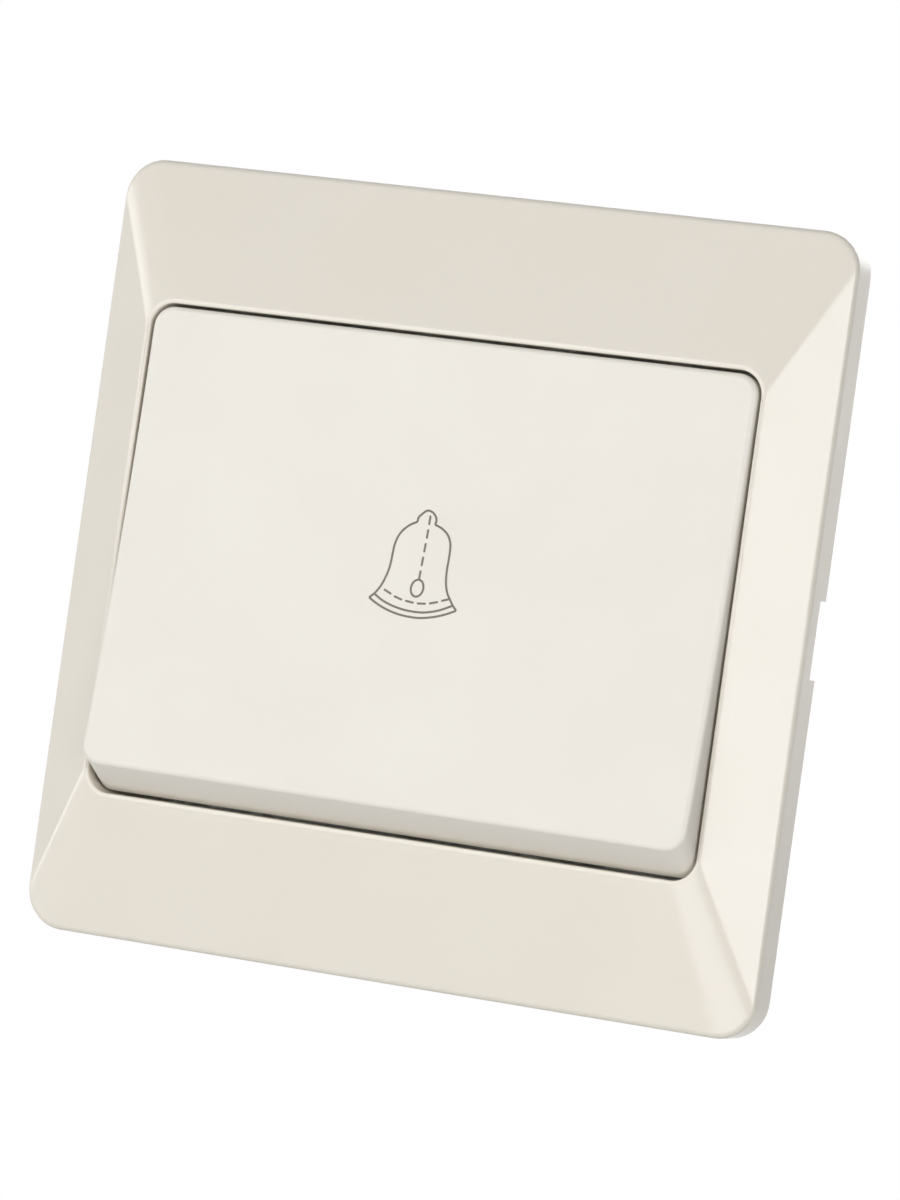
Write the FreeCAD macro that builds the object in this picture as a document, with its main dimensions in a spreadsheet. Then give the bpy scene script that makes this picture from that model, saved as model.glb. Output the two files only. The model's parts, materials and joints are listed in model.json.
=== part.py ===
import FreeCAD, Part

import math
import os

import Sketcher

# Flush bell push: a bevelled cover frame with a wide rocker key, on a steel strap with its mechanism.
# Millimetres. The origin is the middle of the frame on the wall's face. X runs to the right, Y into the wall
# and Z up, so all that shows lies in front of the wall, at negative Y, and the mechanism lies behind it.

SIZES = {
    # cover frame, from the wall's face outwards
    "frame_size": 80.0,
    "frame_corner": 4.0,
    "frame_side": 4.3,
    "frame_slope": 4.0,
    "frame_wall": 2.0,
    "frame_roof": 1.9,
    "frame_edge": 0.8,
    "frame_inner_corner": 2.5,
    "border_side": 6.8,
    "border_top": 14.8,
    "opening_corner": 3.8,
    "rim_land": 0.7,
    "rim_edge": 0.4,
    "lip_wall": 1.6,
    "lip_back": 3.4,
    "notch_length": 7.8,
    "notch_depth": 1.6,
    "rib_thick": 1.2,
    "rib_place_x": 20.0,
    "rib_place_z": 14.0,
    "rib_gap": 0.2,
    # snap hooks that hold the frame on the strap
    "hook_width": 5.0,
    "hook_thick": 1.4,
    "hook_place": 6.0,
    "hook_inset": 1.0,
    "hook_root": 2.4,
    "hook_barb": 0.8,
    "hook_reach": 1.5,
    "hook_gap": 0.15,
    # steel strap
    "strap_edge_gap": 2.5,
    "strap_corner": 6.0,
    "strap_thick": 1.2,
    "fixing_inset": 5.5,
    "fixing_width": 4.2,
    "fixing_length": 7.6,
    "bead_length": 34.0,
    "bead_width": 2.4,
    "bead_rise": 0.5,
    "bead_inset": 3.2,
    # rocker key, in its own frame about the pivot
    "key_gap": 0.37,
    "key_top_gap": 0.76,
    "key_low_gap": 0.42,
    "key_front": 6.07,
    "key_dish": 0.7,
    "key_chin_drop": 2.15,
    "key_chin_depth": 5.15,
    "key_depth": 6.4,
    "key_corner": 3.6,
    "key_edge": 0.5,
    "key_wall": 1.8,
    "key_roof": 2.5,
    "key_rest_tilt": 3.65,
    "key_rib_thick": 1.0,
    "key_rib_high": 1.4,
    "key_rib_place": 18.0,
    "key_rib_step": 7.0,
    # pivot of the key, in front of the wall's face
    "pivot_front": 4.0,
    "trunnion_diameter": 3.0,
    "trunnion_fit": 0.05,
    "trunnion_root": 0.5,
    # cradle that the key snaps on
    "cradle_end_gap": 0.4,
    "cradle_plate": 1.5,
    "cradle_ear": 2.0,
    "cradle_ear_rim": 0.8,
    "cradle_side_gap": 0.3,
    "nose_width": 3.5,
    "nose_tip": 1.0,
    "nose_back": 9.98,
    "nose_inset": 1.82,
    "nose_root_low": 0.2,
    "nose_root_high": 3.2,
    "post_diameter": 2.6,
    "post_place_x": 4.4,
    "post_inset_z": 2.8,
    "post_length": 2.0,
    "post_fit": 0.1,
    # bearing cover of the mechanism, behind the strap
    "case_width": 42.0,
    "case_height": 36.0,
    "case_corner": 3.0,
    "bearing_plate": 3.0,
    "window_inset_x": 7.2,
    "window_inset_z": 8.2,
    "window_corner": 1.2,
    "collar_wall": 2.0,
    "collar_front": 2.0,
    "strap_fit": 0.2,
    "lug_radius": 2.5,
    # base of the mechanism
    "base_depth": 19.0,
    "base_wall": 1.3,
    "base_edge": 0.8,
    "cavity_depth": 8.0,
    "cavity_inset_x": 6.1,
    "cavity_inset_z": 2.6,
    "bay_height": 16.4,
    "entry_side": 3.4,
    "entry_flare": 0.9,
    "rear_recess": 0.8,
    "rear_rim": 2.0,
    # screws that hold the mechanism to the strap
    "screw_inset": 2.8,
    "screw_shank": 2.2,
    "screw_head": 4.2,
    "screw_head_high": 1.2,
    "screw_length": 11.0,
    "screw_fit": 0.1,
    "screw_end_gap": 0.5,
    "slot_width": 0.7,
    "slot_depth": 0.6,
    # terminals
    "terminal_width": 5.0,
    "terminal_height": 9.0,
    "terminal_depth": 9.0,
    "terminal_front": 1.5,
    "terminal_fit": 0.1,
    "clamp_screw_back": 4.5,
    "clamp_shank": 2.8,
    "clamp_head": 4.8,
    "clamp_head_high": 1.5,
    "clamp_inset": 0.3,
    "clamp_open": 0.6,
    # contacts
    "strip_thick": 0.6,
    "strip_edge_gap": 0.5,
    "strip_width": 2.4,
    "strip_end": 2.0,
    "strip_rim": 0.6,
    "contact_inset": 2.9,
    "contact_diameter": 3.4,
    "contact_shank": 1.5,
    "contact_fit": 0.05,
    "fixed_tip_high": 1.4,
    "moving_tip_high": 0.9,
    "arm_thick": 0.5,
    "arm_width": 5.0,
    "arm_end": 1.9,
    "arm_front": 3.6,
    "hinge_inset": 4.4,
    "pin_diameter": 1.5,
    "pin_end": 0.5,
    "eye_wall": 0.45,
    "eye_extra": 0.8,
    "bracket_over": 2.4,
    "bracket_under": 2.2,
    "bracket_foot": 3.0,
    "bracket_leg": 3.6,
    "bracket_lug": 0.6,
    "bracket_lug_gap": 0.2,
    "bracket_lug_rim": 1.2,
    "bracket_lug_root": 0.3,
    # springs
    "return_inset_x": 4.8,
    "return_inset_z": 2.9,
    "return_seat": 4.0,
    "return_diameter": 4.5,
    "return_wire": 0.5,
    "return_turns": 5.0,
    "return_gap": 0.15,
    "seat_diameter": 5.4,
    "guide_diameter": 3.0,
    "guide_length": 1.6,
    "arm_spring_drop": 2.0,
    "arm_spring_diameter": 3.6,
    "arm_spring_wire": 0.4,
    "arm_spring_turns": 3.0,
    "arm_spring_gap": 0.1,
    # how deep a pad starts inside the form that it grows from
    "overlap": 0.5,
}

SHEET = "Sizes"
NEAR = 1e-3
PLANES = {"x": "YZ_Plane", "y": "XZ_Plane", "z": "XY_Plane"}


class Size:
    """A number together with the sheet expression that gives it."""

    def __init__(self, number, text):
        self.number = number
        self.text = text

    def __add__(self, other):
        other = as_size(other)
        return Size(self.number + other.number, "(%s + %s)" % (self.text, other.text))

    def __sub__(self, other):
        other = as_size(other)
        return Size(self.number - other.number, "(%s - %s)" % (self.text, other.text))

    def __mul__(self, other):
        other = as_size(other)
        return Size(self.number * other.number, "(%s * %s)" % (self.text, other.text))

    def __truediv__(self, other):
        other = as_size(other)
        return Size(self.number / other.number, "(%s / %s)" % (self.text, other.text))

    def __radd__(self, other):
        return as_size(other) + self

    def __rsub__(self, other):
        return as_size(other) - self

    def __rmul__(self, other):
        return as_size(other) * self

    def __neg__(self):
        return Size(-self.number, "(0 - %s)" % self.text)


def as_size(value):
    """Take a plain number as a size."""
    return value if isinstance(value, Size) else Size(float(value), "%.6g" % value)


def bound(name):
    """The size that the sheet holds under a name."""
    return Size(SIZES[name], "%s.%s" % (SHEET, name))


def bind(feature, path, size):
    """Bind one property of a feature to a size."""
    feature.setExpression(path, as_size(size).text)


def make_sheet(doc):
    """Write every driving size into the sheet, one row each."""
    sheet = doc.addObject("Spreadsheet::Sheet", SHEET)
    for row, (name, number) in enumerate(SIZES.items(), start=1):
        sheet.set("A%d" % row, name.replace("_", " "))
        sheet.set("B%d" % row, repr(number))
        sheet.setAlias("B%d" % row, name)
    doc.recompute()


def place_vertex(sketch, geometry, vertex, point):
    """Place one vertex of a sketch by its two distances from the sketch's origin."""
    for kind, axis, coordinate in (("DistanceX", -2, point[0]), ("DistanceY", -1, point[1])):
        coordinate = as_size(coordinate)
        if abs(coordinate.number) < 1e-9:
            sketch.addConstraint(Sketcher.Constraint("PointOnObject", geometry, vertex, axis))
            continue
        distance = Sketcher.Constraint(kind, -1, 1, geometry, vertex, coordinate.number)
        index = sketch.addConstraint(distance)
        bind(sketch, "Constraints[%d]" % index, coordinate)


def flat(point):
    """A sketch point as a vector."""
    return FreeCAD.Vector(as_size(point[0]).number, as_size(point[1]).number, 0)


def draw_outline(sketch, points):
    """Closed outline of straight lines through points."""
    first = sketch.GeometryCount
    count = len(points)
    for start, end in zip(points, points[1:] + points[:1]):
        sketch.addGeometry(Part.LineSegment(flat(start), flat(end)))
    for i in range(count):
        follower = first + (i + 1) % count
        sketch.addConstraint(Sketcher.Constraint("Coincident", first + i, 2, follower, 1))
    for i, point in enumerate(points):
        place_vertex(sketch, first + i, 1, point)


def draw_box(sketch, left, right, low, high):
    """Plain rectangle between two places across and two places up."""
    draw_outline(sketch, [(left, low), (right, low), (right, high), (left, high)])


def add_arc(sketch, centre, radius, start, end):
    """Arc round a centre, from one angle to another in degrees."""
    ring = Part.Circle(flat(centre), FreeCAD.Vector(0, 0, 1), radius.number)
    return sketch.addGeometry(Part.ArcOfCircle(ring, math.radians(start), math.radians(end)))


def set_side(sketch, geometry, kind, size):
    """Place a horizontal or vertical line by its distance from the sketch's origin."""
    index = sketch.addConstraint(Sketcher.Constraint(kind, -1, 1, geometry, 1, size.number))
    bind(sketch, "Constraints[%d]" % index, size)


def set_radius(sketch, geometry, radius):
    """Give an arc its radius."""
    index = sketch.addConstraint(Sketcher.Constraint("Radius", geometry, radius.number))
    bind(sketch, "Constraints[%d]" % index, radius)


def draw_rounded(sketch, width, height, radius):
    """Rectangle about the sketch's origin with four equal round corners."""
    right = width / 2
    top = height / 2
    inner_x = right - radius
    inner_z = top - radius
    first = sketch.GeometryCount
    corners = [
        (inner_x, -inner_z, 270),
        (inner_x, inner_z, 0),
        (-inner_x, inner_z, 90),
        (-inner_x, -inner_z, 180),
    ]
    ends = [
        ((-inner_x, -top), (inner_x, -top)),
        ((right, -inner_z), (right, inner_z)),
        ((inner_x, top), (-inner_x, top)),
        ((-right, inner_z), (-right, -inner_z)),
    ]
    for (start, end), (x, z, angle) in zip(ends, corners):
        sketch.addGeometry(Part.LineSegment(flat(start), flat(end)))
        add_arc(sketch, (x, z), radius, angle, angle + 90)
    for i in range(8):
        sketch.addConstraint(Sketcher.Constraint("Tangent", first + i, 2, first + (i + 1) % 8, 1))
    for i, direction in enumerate(("Horizontal", "Vertical", "Horizontal", "Vertical")):
        sketch.addConstraint(Sketcher.Constraint(direction, first + 2 * i))
    for i in (3, 5, 7):
        sketch.addConstraint(Sketcher.Constraint("Equal", first + 1, first + i))
    set_side(sketch, first, "DistanceY", -top)
    set_side(sketch, first + 2, "DistanceX", right)
    set_side(sketch, first + 4, "DistanceY", top)
    set_side(sketch, first + 6, "DistanceX", -right)
    set_radius(sketch, first + 1, radius)


def draw_circle(sketch, centre, diameter):
    """Circle of a bound diameter at a bound place."""
    ring = Part.Circle(flat(centre), FreeCAD.Vector(0, 0, 1), diameter.number / 2)
    geometry = sketch.addGeometry(ring)
    index = sketch.addConstraint(Sketcher.Constraint("Diameter", geometry, diameter.number))
    bind(sketch, "Constraints[%d]" % index, diameter)
    place_vertex(sketch, geometry, 3, centre)


def draw_slot(sketch, centre, length, width):
    """Round-ended slot along the sketch's first axis."""
    x = as_size(centre[0])
    z = as_size(centre[1])
    radius = width / 2
    reach = (length - width) / 2
    first = sketch.GeometryCount
    sketch.addGeometry(Part.LineSegment(flat((x - reach, z - radius)), flat((x + reach, z - radius))))
    add_arc(sketch, (x + reach, z), radius, 270, 450)
    sketch.addGeometry(Part.LineSegment(flat((x + reach, z + radius)), flat((x - reach, z + radius))))
    add_arc(sketch, (x - reach, z), radius, 90, 270)
    for i in range(4):
        sketch.addConstraint(Sketcher.Constraint("Tangent", first + i, 2, first + (i + 1) % 4, 1))
    sketch.addConstraint(Sketcher.Constraint("Equal", first + 1, first + 3))
    set_radius(sketch, first + 1, radius)
    place_vertex(sketch, first + 1, 3, (x + reach, z))
    place_vertex(sketch, first + 3, 3, (x - reach, z))


def draw_lug(sketch, centre, radius, foot):
    """Round-headed lug: its head is an arc about a centre, and its flat foot lies along the first axis."""
    y = as_size(centre[0])
    z = as_size(centre[1])
    first = sketch.GeometryCount
    add_arc(sketch, (y, z), radius, 90, 270)
    sketch.addGeometry(Part.LineSegment(flat((y, z - radius)), flat((foot, z - radius))))
    sketch.addGeometry(Part.LineSegment(flat((foot, z - radius)), flat((foot, z + radius))))
    sketch.addGeometry(Part.LineSegment(flat((foot, z + radius)), flat((y, z + radius))))
    sketch.addConstraint(Sketcher.Constraint("Tangent", first, 2, first + 1, 1))
    sketch.addConstraint(Sketcher.Constraint("Coincident", first + 1, 2, first + 2, 1))
    sketch.addConstraint(Sketcher.Constraint("Coincident", first + 2, 2, first + 3, 1))
    sketch.addConstraint(Sketcher.Constraint("Tangent", first + 3, 2, first, 1))
    sketch.addConstraint(Sketcher.Constraint("Horizontal", first + 1))
    sketch.addConstraint(Sketcher.Constraint("Vertical", first + 2))
    sketch.addConstraint(Sketcher.Constraint("Horizontal", first + 3))
    set_radius(sketch, first, radius)
    place_vertex(sketch, first, 3, (y, z))
    set_side(sketch, first + 2, "DistanceX", foot)


def plain_box(left, right, low, high):
    """Drawing function of a plain rectangle."""
    return lambda sketch: draw_box(sketch, left, right, low, high)


def rounded_box(width, height, radius):
    """Drawing function of a rounded rectangle."""
    return lambda sketch: draw_rounded(sketch, width, height, radius)


def circle(centre, diameter):
    """Drawing function of a circle."""
    return lambda sketch: draw_circle(sketch, centre, diameter)


def outline_of(points):
    """Drawing function of a closed outline."""
    return lambda sketch: draw_outline(sketch, points)


def lug(centre, radius, foot):
    """Drawing function of a round-headed lug."""
    return lambda sketch: draw_lug(sketch, centre, radius, foot)


def draw_wire(sketch, height, wire):
    """Six-sided section of a wire, at a height above the sketch's origin."""
    half = wire / 2
    flat_half = half / 2
    rise = half * cosine(as_size(30))
    lower = [(-half, 0), (-flat_half, -rise), (flat_half, -rise)]
    upper = [(half, 0), (flat_half, rise), (-flat_half, rise)]
    rows = lower + upper
    draw_outline(sketch, [(across, height + up) for across, up in rows])


def new_body(doc, name):
    """Empty body for one piece."""
    body = doc.addObject("PartDesign::Body", name)
    body.Label = name
    return body


def new_sketch(body, name, across, place):
    """Sketch on the body's origin plane across an axis, moved along that axis to a place."""
    sketch = body.newObject("Sketcher::SketchObject", name)
    plane = next(item for item in body.Origin.OriginFeatures if item.Role == PLANES[across])
    sketch.AttachmentSupport = [(plane, "")]
    sketch.MapMode = "FlatFace"
    place = as_size(place)
    # The plane across Y faces the front, so its offset runs the other way.
    bind(sketch, "AttachmentOffset.Base.z", -place if across == "y" else place)
    return sketch


def extrude(body, name, across, low, high, draw, cut=False):
    """Pad or pocket an outline between two places along an axis."""
    low = as_size(low)
    high = as_size(high)
    # A pad runs along the plane's normal and a pocket against it.
    starts_low = (across == "y") == cut
    sketch = new_sketch(body, name + "_outline", across, low if starts_low else high)
    draw(sketch)
    feature = body.newObject("PartDesign::Pocket" if cut else "PartDesign::Pad", name)
    feature.Profile = sketch
    bind(feature, "Length", high - low)
    sketch.Visibility = False
    return feature


def loft(body, name, sections, cut=False):
    """Ruled loft through outlines at places along Y, each given as a place and a drawing function."""
    sketches = []
    for i, (place, draw) in enumerate(sections):
        sketch = new_sketch(body, "%s_section_%d" % (name, i + 1), "y", place)
        draw(sketch)
        sketches.append(sketch)
    kind = "PartDesign::SubtractiveLoft" if cut else "PartDesign::AdditiveLoft"
    feature = body.newObject(kind, name)
    feature.Profile = sketches[0]
    feature.Sections = sketches[1:]
    feature.Ruled = True
    return feature


def picked_edges(body, wanted):
    """The body's last feature, with the names of its edges that the wanted function picks."""
    body.Document.recompute()
    base = body.Tip
    return base, ["Edge%d" % (i + 1) for i, edge in enumerate(base.Shape.Edges) if wanted(edge)]


def round_edges(body, name, radius, wanted):
    """Fillet the picked edges."""
    picked = picked_edges(body, wanted)
    feature = body.newObject("PartDesign::Fillet", name)
    feature.Base = picked
    bind(feature, "Radius", radius)
    return feature


def bevel_edges(body, name, size, wanted):
    """Chamfer the picked edges."""
    picked = picked_edges(body, wanted)
    feature = body.newObject("PartDesign::Chamfer", name)
    feature.Base = picked
    bind(feature, "Size", size)
    return feature


def coil(body, name, x, z, diameter, wire, turns, front, back):
    """Coil spring along Y between two places."""
    sketch = body.newObject("Sketcher::SketchObject", name + "_wire")
    plane = next(item for item in body.Origin.OriginFeatures if item.Role == PLANES["x"])
    sketch.AttachmentSupport = [(plane, "")]
    sketch.MapMode = "FlatFace"
    bind(sketch, "AttachmentOffset.Base.x", front + wire / 2)
    bind(sketch, "AttachmentOffset.Base.y", z)
    bind(sketch, "AttachmentOffset.Base.z", x)
    draw_wire(sketch, diameter / 2, wire)
    body.Document.recompute()
    feature = body.newObject("PartDesign::AdditiveHelix", name)
    feature.Profile = sketch
    feature.ReferenceAxis = (sketch, ["H_Axis"])
    feature.Mode = "height-turns-growth"
    bind(feature, "Height", back - front - wire)
    bind(feature, "Turns", turns)
    return feature


def side_span(side, near, far):
    """The two places along an axis of something on the left, at -1, or the right, at 1."""
    return (near, far) if side > 0 else (-far, -near)


def cosine(angle):
    """Cosine of a size that is an angle in degrees."""
    return Size(math.cos(math.radians(angle.number)), "cos(%s * 1 deg)" % angle.text)


def sine(angle):
    """Sine of a size that is an angle in degrees."""
    return Size(math.sin(math.radians(angle.number)), "sin(%s * 1 deg)" % angle.text)


def hang_on_pivot(body):
    """Place a body that is drawn about the key's pivot, at the key's rest tilt."""
    body.Placement.Rotation = FreeCAD.Rotation(FreeCAD.Vector(-1, 0, 0), SIZES["key_rest_tilt"])
    bind(body, "Placement.Base.y", -bound("pivot_front"))
    bind(body, "Placement.Rotation.Angle", bound("key_rest_tilt"))


# places that several pieces share
overlap = bound("overlap")
frame_depth = bound("frame_side") + bound("frame_slope")
opening_width = bound("frame_size") - 2 * bound("border_side")
opening_height = bound("frame_size") - 2 * bound("border_top")
strap_front = -bound("strap_thick")
strap_size = bound("frame_size") - 2 * (bound("frame_wall") + bound("strap_edge_gap"))
fixing_spacing = strap_size - 2 * bound("fixing_inset")
window_width = bound("case_width") - 2 * bound("window_inset_x")
window_height = bound("case_height") - 2 * bound("window_inset_z")
collar_width = window_width + 2 * bound("collar_wall")
collar_height = window_height + 2 * bound("collar_wall")
screw_x = bound("case_width") / 2 - bound("screw_inset")
screw_z = bound("case_height") / 2 - bound("screw_inset")
screw_spots = [(x, z) for x in (-1, 1) for z in (-1, 1)]
cradle_half = window_width / 2 - bound("cradle_side_gap")
cradle_high = window_height / 2 - bound("cradle_end_gap")
post_z = cradle_high - bound("post_inset_z")
return_x = window_width / 2 - bound("return_inset_x")
return_z = window_height / 2 - bound("return_inset_z")
base_front = bound("bearing_plate")
base_back = base_front + bound("base_depth")
cavity_floor = base_front + bound("cavity_depth")
cavity_half_x = bound("case_width") / 2 - bound("cavity_inset_x")
cavity_half_z = bound("case_height") / 2 - bound("cavity_inset_z")
bay_side = bound("case_width") / 2 - bound("base_wall")
terminal_far = bay_side - bound("terminal_fit")
terminal_near = terminal_far - bound("terminal_width")
terminal_middle = (terminal_near + terminal_far) / 2
clamp_y = cavity_floor + bound("clamp_screw_back")
strip_front = cavity_floor - bound("strip_thick")
contact_drop = cavity_half_z - bound("contact_inset")
arm_face = base_front + bound("arm_front")
arm_back = arm_face + bound("arm_thick")
eye_radius = bound("pin_diameter") / 2 + bound("contact_fit") + bound("eye_wall")
eye_half = bound("arm_width") / 2 + bound("eye_extra")
hinge_y = arm_face + eye_radius
hinge_rise = cavity_half_z - bound("hinge_inset")
lug_near = eye_half + bound("bracket_lug_gap")
lug_far = lug_near + bound("bracket_lug")


def hook_outline(side):
    """Drawing function of a snap hook's side view, at the top, 1, or the bottom, -1, of the frame."""
    inner = opening_height / 2 + bound("hook_inset")
    outer = inner + bound("hook_thick")
    point = outer + bound("hook_barb")
    root = -(bound("lip_back") + bound("hook_root"))
    barb = bound("hook_gap")
    tip = barb + bound("hook_reach")
    rows = [(root, inner), (tip, inner), (tip, outer), (barb, point), (barb, outer), (root, outer)]
    return outline_of([(y, z * side) for y, z in rows])


def make_cover_frame(doc):
    """Moulded square frame with four slopes that rise to the opening, hollow behind."""
    body = new_body(doc, "cover_frame")
    size = bound("frame_size")
    inner = size - 2 * bound("frame_wall")
    side = bound("frame_side")
    width = opening_width
    height = opening_height
    corner = bound("opening_corner")
    land = bound("rim_land")
    lip = bound("lip_wall")
    roof = bound("frame_roof")

    def outer_outline(sketch):
        draw_rounded(sketch, size, size, bound("frame_corner"))

    def rim_outline(sketch):
        draw_rounded(sketch, width + 2 * land, height + 2 * land, corner + land)

    def opening_outline(sketch):
        draw_rounded(sketch, width, height, corner)

    def lip_outline(sketch):
        draw_rounded(sketch, width + 2 * lip, height + 2 * lip, corner + lip)

    def hollow_outline(sketch):
        draw_rounded(sketch, inner, inner, bound("frame_inner_corner"))

    def lip_ring(sketch):
        lip_outline(sketch)
        opening_outline(sketch)

    extrude(body, "side_walls", "y", -side, 0, outer_outline)
    loft(body, "slopes", [(-side, outer_outline), (-frame_depth, rim_outline)])
    extrude(body, "hollow", "y", roof - side, 0, hollow_outline, cut=True)
    loft(body, "sloped_hollow", [(roof - side, hollow_outline), (roof - frame_depth, lip_outline)], cut=True)
    extrude(body, "opening", "y", -frame_depth, 0, opening_outline, cut=True)
    extrude(body, "lip", "y", roof / 2 - frame_depth, -bound("lip_back"), lip_ring)
    add_frame_ribs(body)
    add_frame_hooks(body)

    def notches(sketch):
        for hand in (-1, 1):
            left, right = side_span(hand, inner / 2 - overlap, size / 2 + overlap)
            draw_box(sketch, left, right, -bound("notch_length") / 2, bound("notch_length") / 2)

    extrude(body, "pry_notches", "y", -bound("notch_depth"), 0, notches, cut=True)

    def on_front_edge(edge):
        box = edge.BoundBox
        reach = max(-box.XMin, box.XMax, -box.ZMin, box.ZMax)
        level = abs(box.YMin + side.number) < NEAR and box.YLength < NEAR
        return level and reach > (size / 2 - bound("frame_corner")).number

    def on_rim(edge):
        box = edge.BoundBox
        level = abs(box.YMin + frame_depth.number) < NEAR and box.YLength < NEAR
        across = max(-box.XMin, box.XMax) < (width / 2).number + NEAR
        return level and across and max(-box.ZMin, box.ZMax) < (height / 2).number + NEAR

    round_edges(body, "front_edge", bound("frame_edge"), on_front_edge)
    bevel_edges(body, "rim_bevel", bound("rim_edge"), on_rim)
    return body


def add_frame_ribs(body):
    """Stiffening ribs between the frame's lip and its side walls, which end just in front of the strap."""
    back = strap_front - bound("rib_gap")
    half = (bound("frame_size") - bound("frame_wall")) / 2
    lip_x = opening_width / 2 + bound("lip_wall") / 2
    lip_z = opening_height / 2 + bound("lip_wall") / 2
    deep = bound("frame_roof") / 2 - frame_depth
    shallow = bound("frame_roof") / 2 - bound("frame_side")
    thick = bound("rib_thick")
    for hand in (-1, 1):
        for side in (-1, 1):
            spot = "_%s_%s" % ("left" if hand < 0 else "right", "low" if side < 0 else "high")
            middle = bound("rib_place_x") * hand
            rows = [(back, lip_z), (back, half), (shallow, half), (deep, lip_z)]
            upright = outline_of([(y, z * side) for y, z in rows])
            extrude(body, "upright_rib" + spot, "x", middle - thick / 2, middle + thick / 2, upright)
            middle = bound("rib_place_z") * side
            rows = [(lip_x, back), (half, back), (half, shallow), (lip_x, deep)]
            level = outline_of([(x * hand, y) for x, y in rows])
            extrude(body, "level_rib" + spot, "z", middle - thick / 2, middle + thick / 2, level)


def add_frame_hooks(body):
    """Two snap hooks above and two below the opening."""
    for hand in (-1, 1):
        low = bound("hook_place") * hand - bound("hook_width") / 2
        for side in (-1, 1):
            spot = "_%s_%s" % ("left" if hand < 0 else "right", "low" if side < 0 else "high")
            extrude(body, "hook" + spot, "x", low, low + bound("hook_width"), hook_outline(side))


def make_mounting_strap(doc):
    """Stamped steel plate behind the frame, with the slots for the wall box's screws."""
    body = new_body(doc, "mounting_strap")
    size = strap_size
    fit = bound("strap_fit")

    def window(sketch):
        draw_rounded(sketch, collar_width + 2 * fit, collar_height + 2 * fit, bound("window_corner") + fit)

    def fixing_slots(sketch):
        for hand in (-1, 1):
            place = fixing_spacing / 2 * hand
            draw_slot(sketch, (place, 0), bound("fixing_length"), bound("fixing_width"))

    def hook_slots(sketch):
        inner = opening_height / 2 + bound("hook_inset")
        outer = inner + bound("hook_thick")
        for hand in (-1, 1):
            middle = bound("hook_place") * hand
            half = bound("hook_width") / 2 + fit
            for side in (-1, 1):
                low, high = side_span(side, inner - bound("hook_barb"), outer + bound("hook_gap"))
                draw_box(sketch, middle - half, middle + half, low, high)

    bead_z = size / 2 - bound("bead_inset")
    bead_front = strap_front - bound("bead_rise")

    def beads(width):
        def draw(sketch):
            for side in (-1, 1):
                draw_slot(sketch, (0, bead_z * side), bound("bead_length"), width)

        return draw

    extrude(body, "plate", "y", strap_front, 0, rounded_box(size, size, bound("strap_corner")))
    extrude(body, "beads", "y", bead_front, strap_front, beads(bound("bead_width")))
    inner_bead = bound("bead_width") - 2 * bound("bead_rise")
    extrude(body, "bead_hollows", "y", -bound("bead_rise"), 0, beads(inner_bead), cut=True)
    extrude(body, "mechanism_window", "y", strap_front, 0, window, cut=True)
    extrude(body, "fixing_slots", "y", strap_front, 0, fixing_slots, cut=True)
    extrude(body, "hook_slots", "y", strap_front, 0, hook_slots, cut=True)
    extrude(body, "screw_holes", "y", strap_front, 0, screw_holes, cut=True)
    return body


def screw_holes(sketch):
    """Four clearance holes for the screws that hold the mechanism."""
    for hand, side in screw_spots:
        draw_circle(sketch, (screw_x * hand, screw_z * side), bound("screw_shank") + 2 * bound("screw_fit"))


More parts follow.
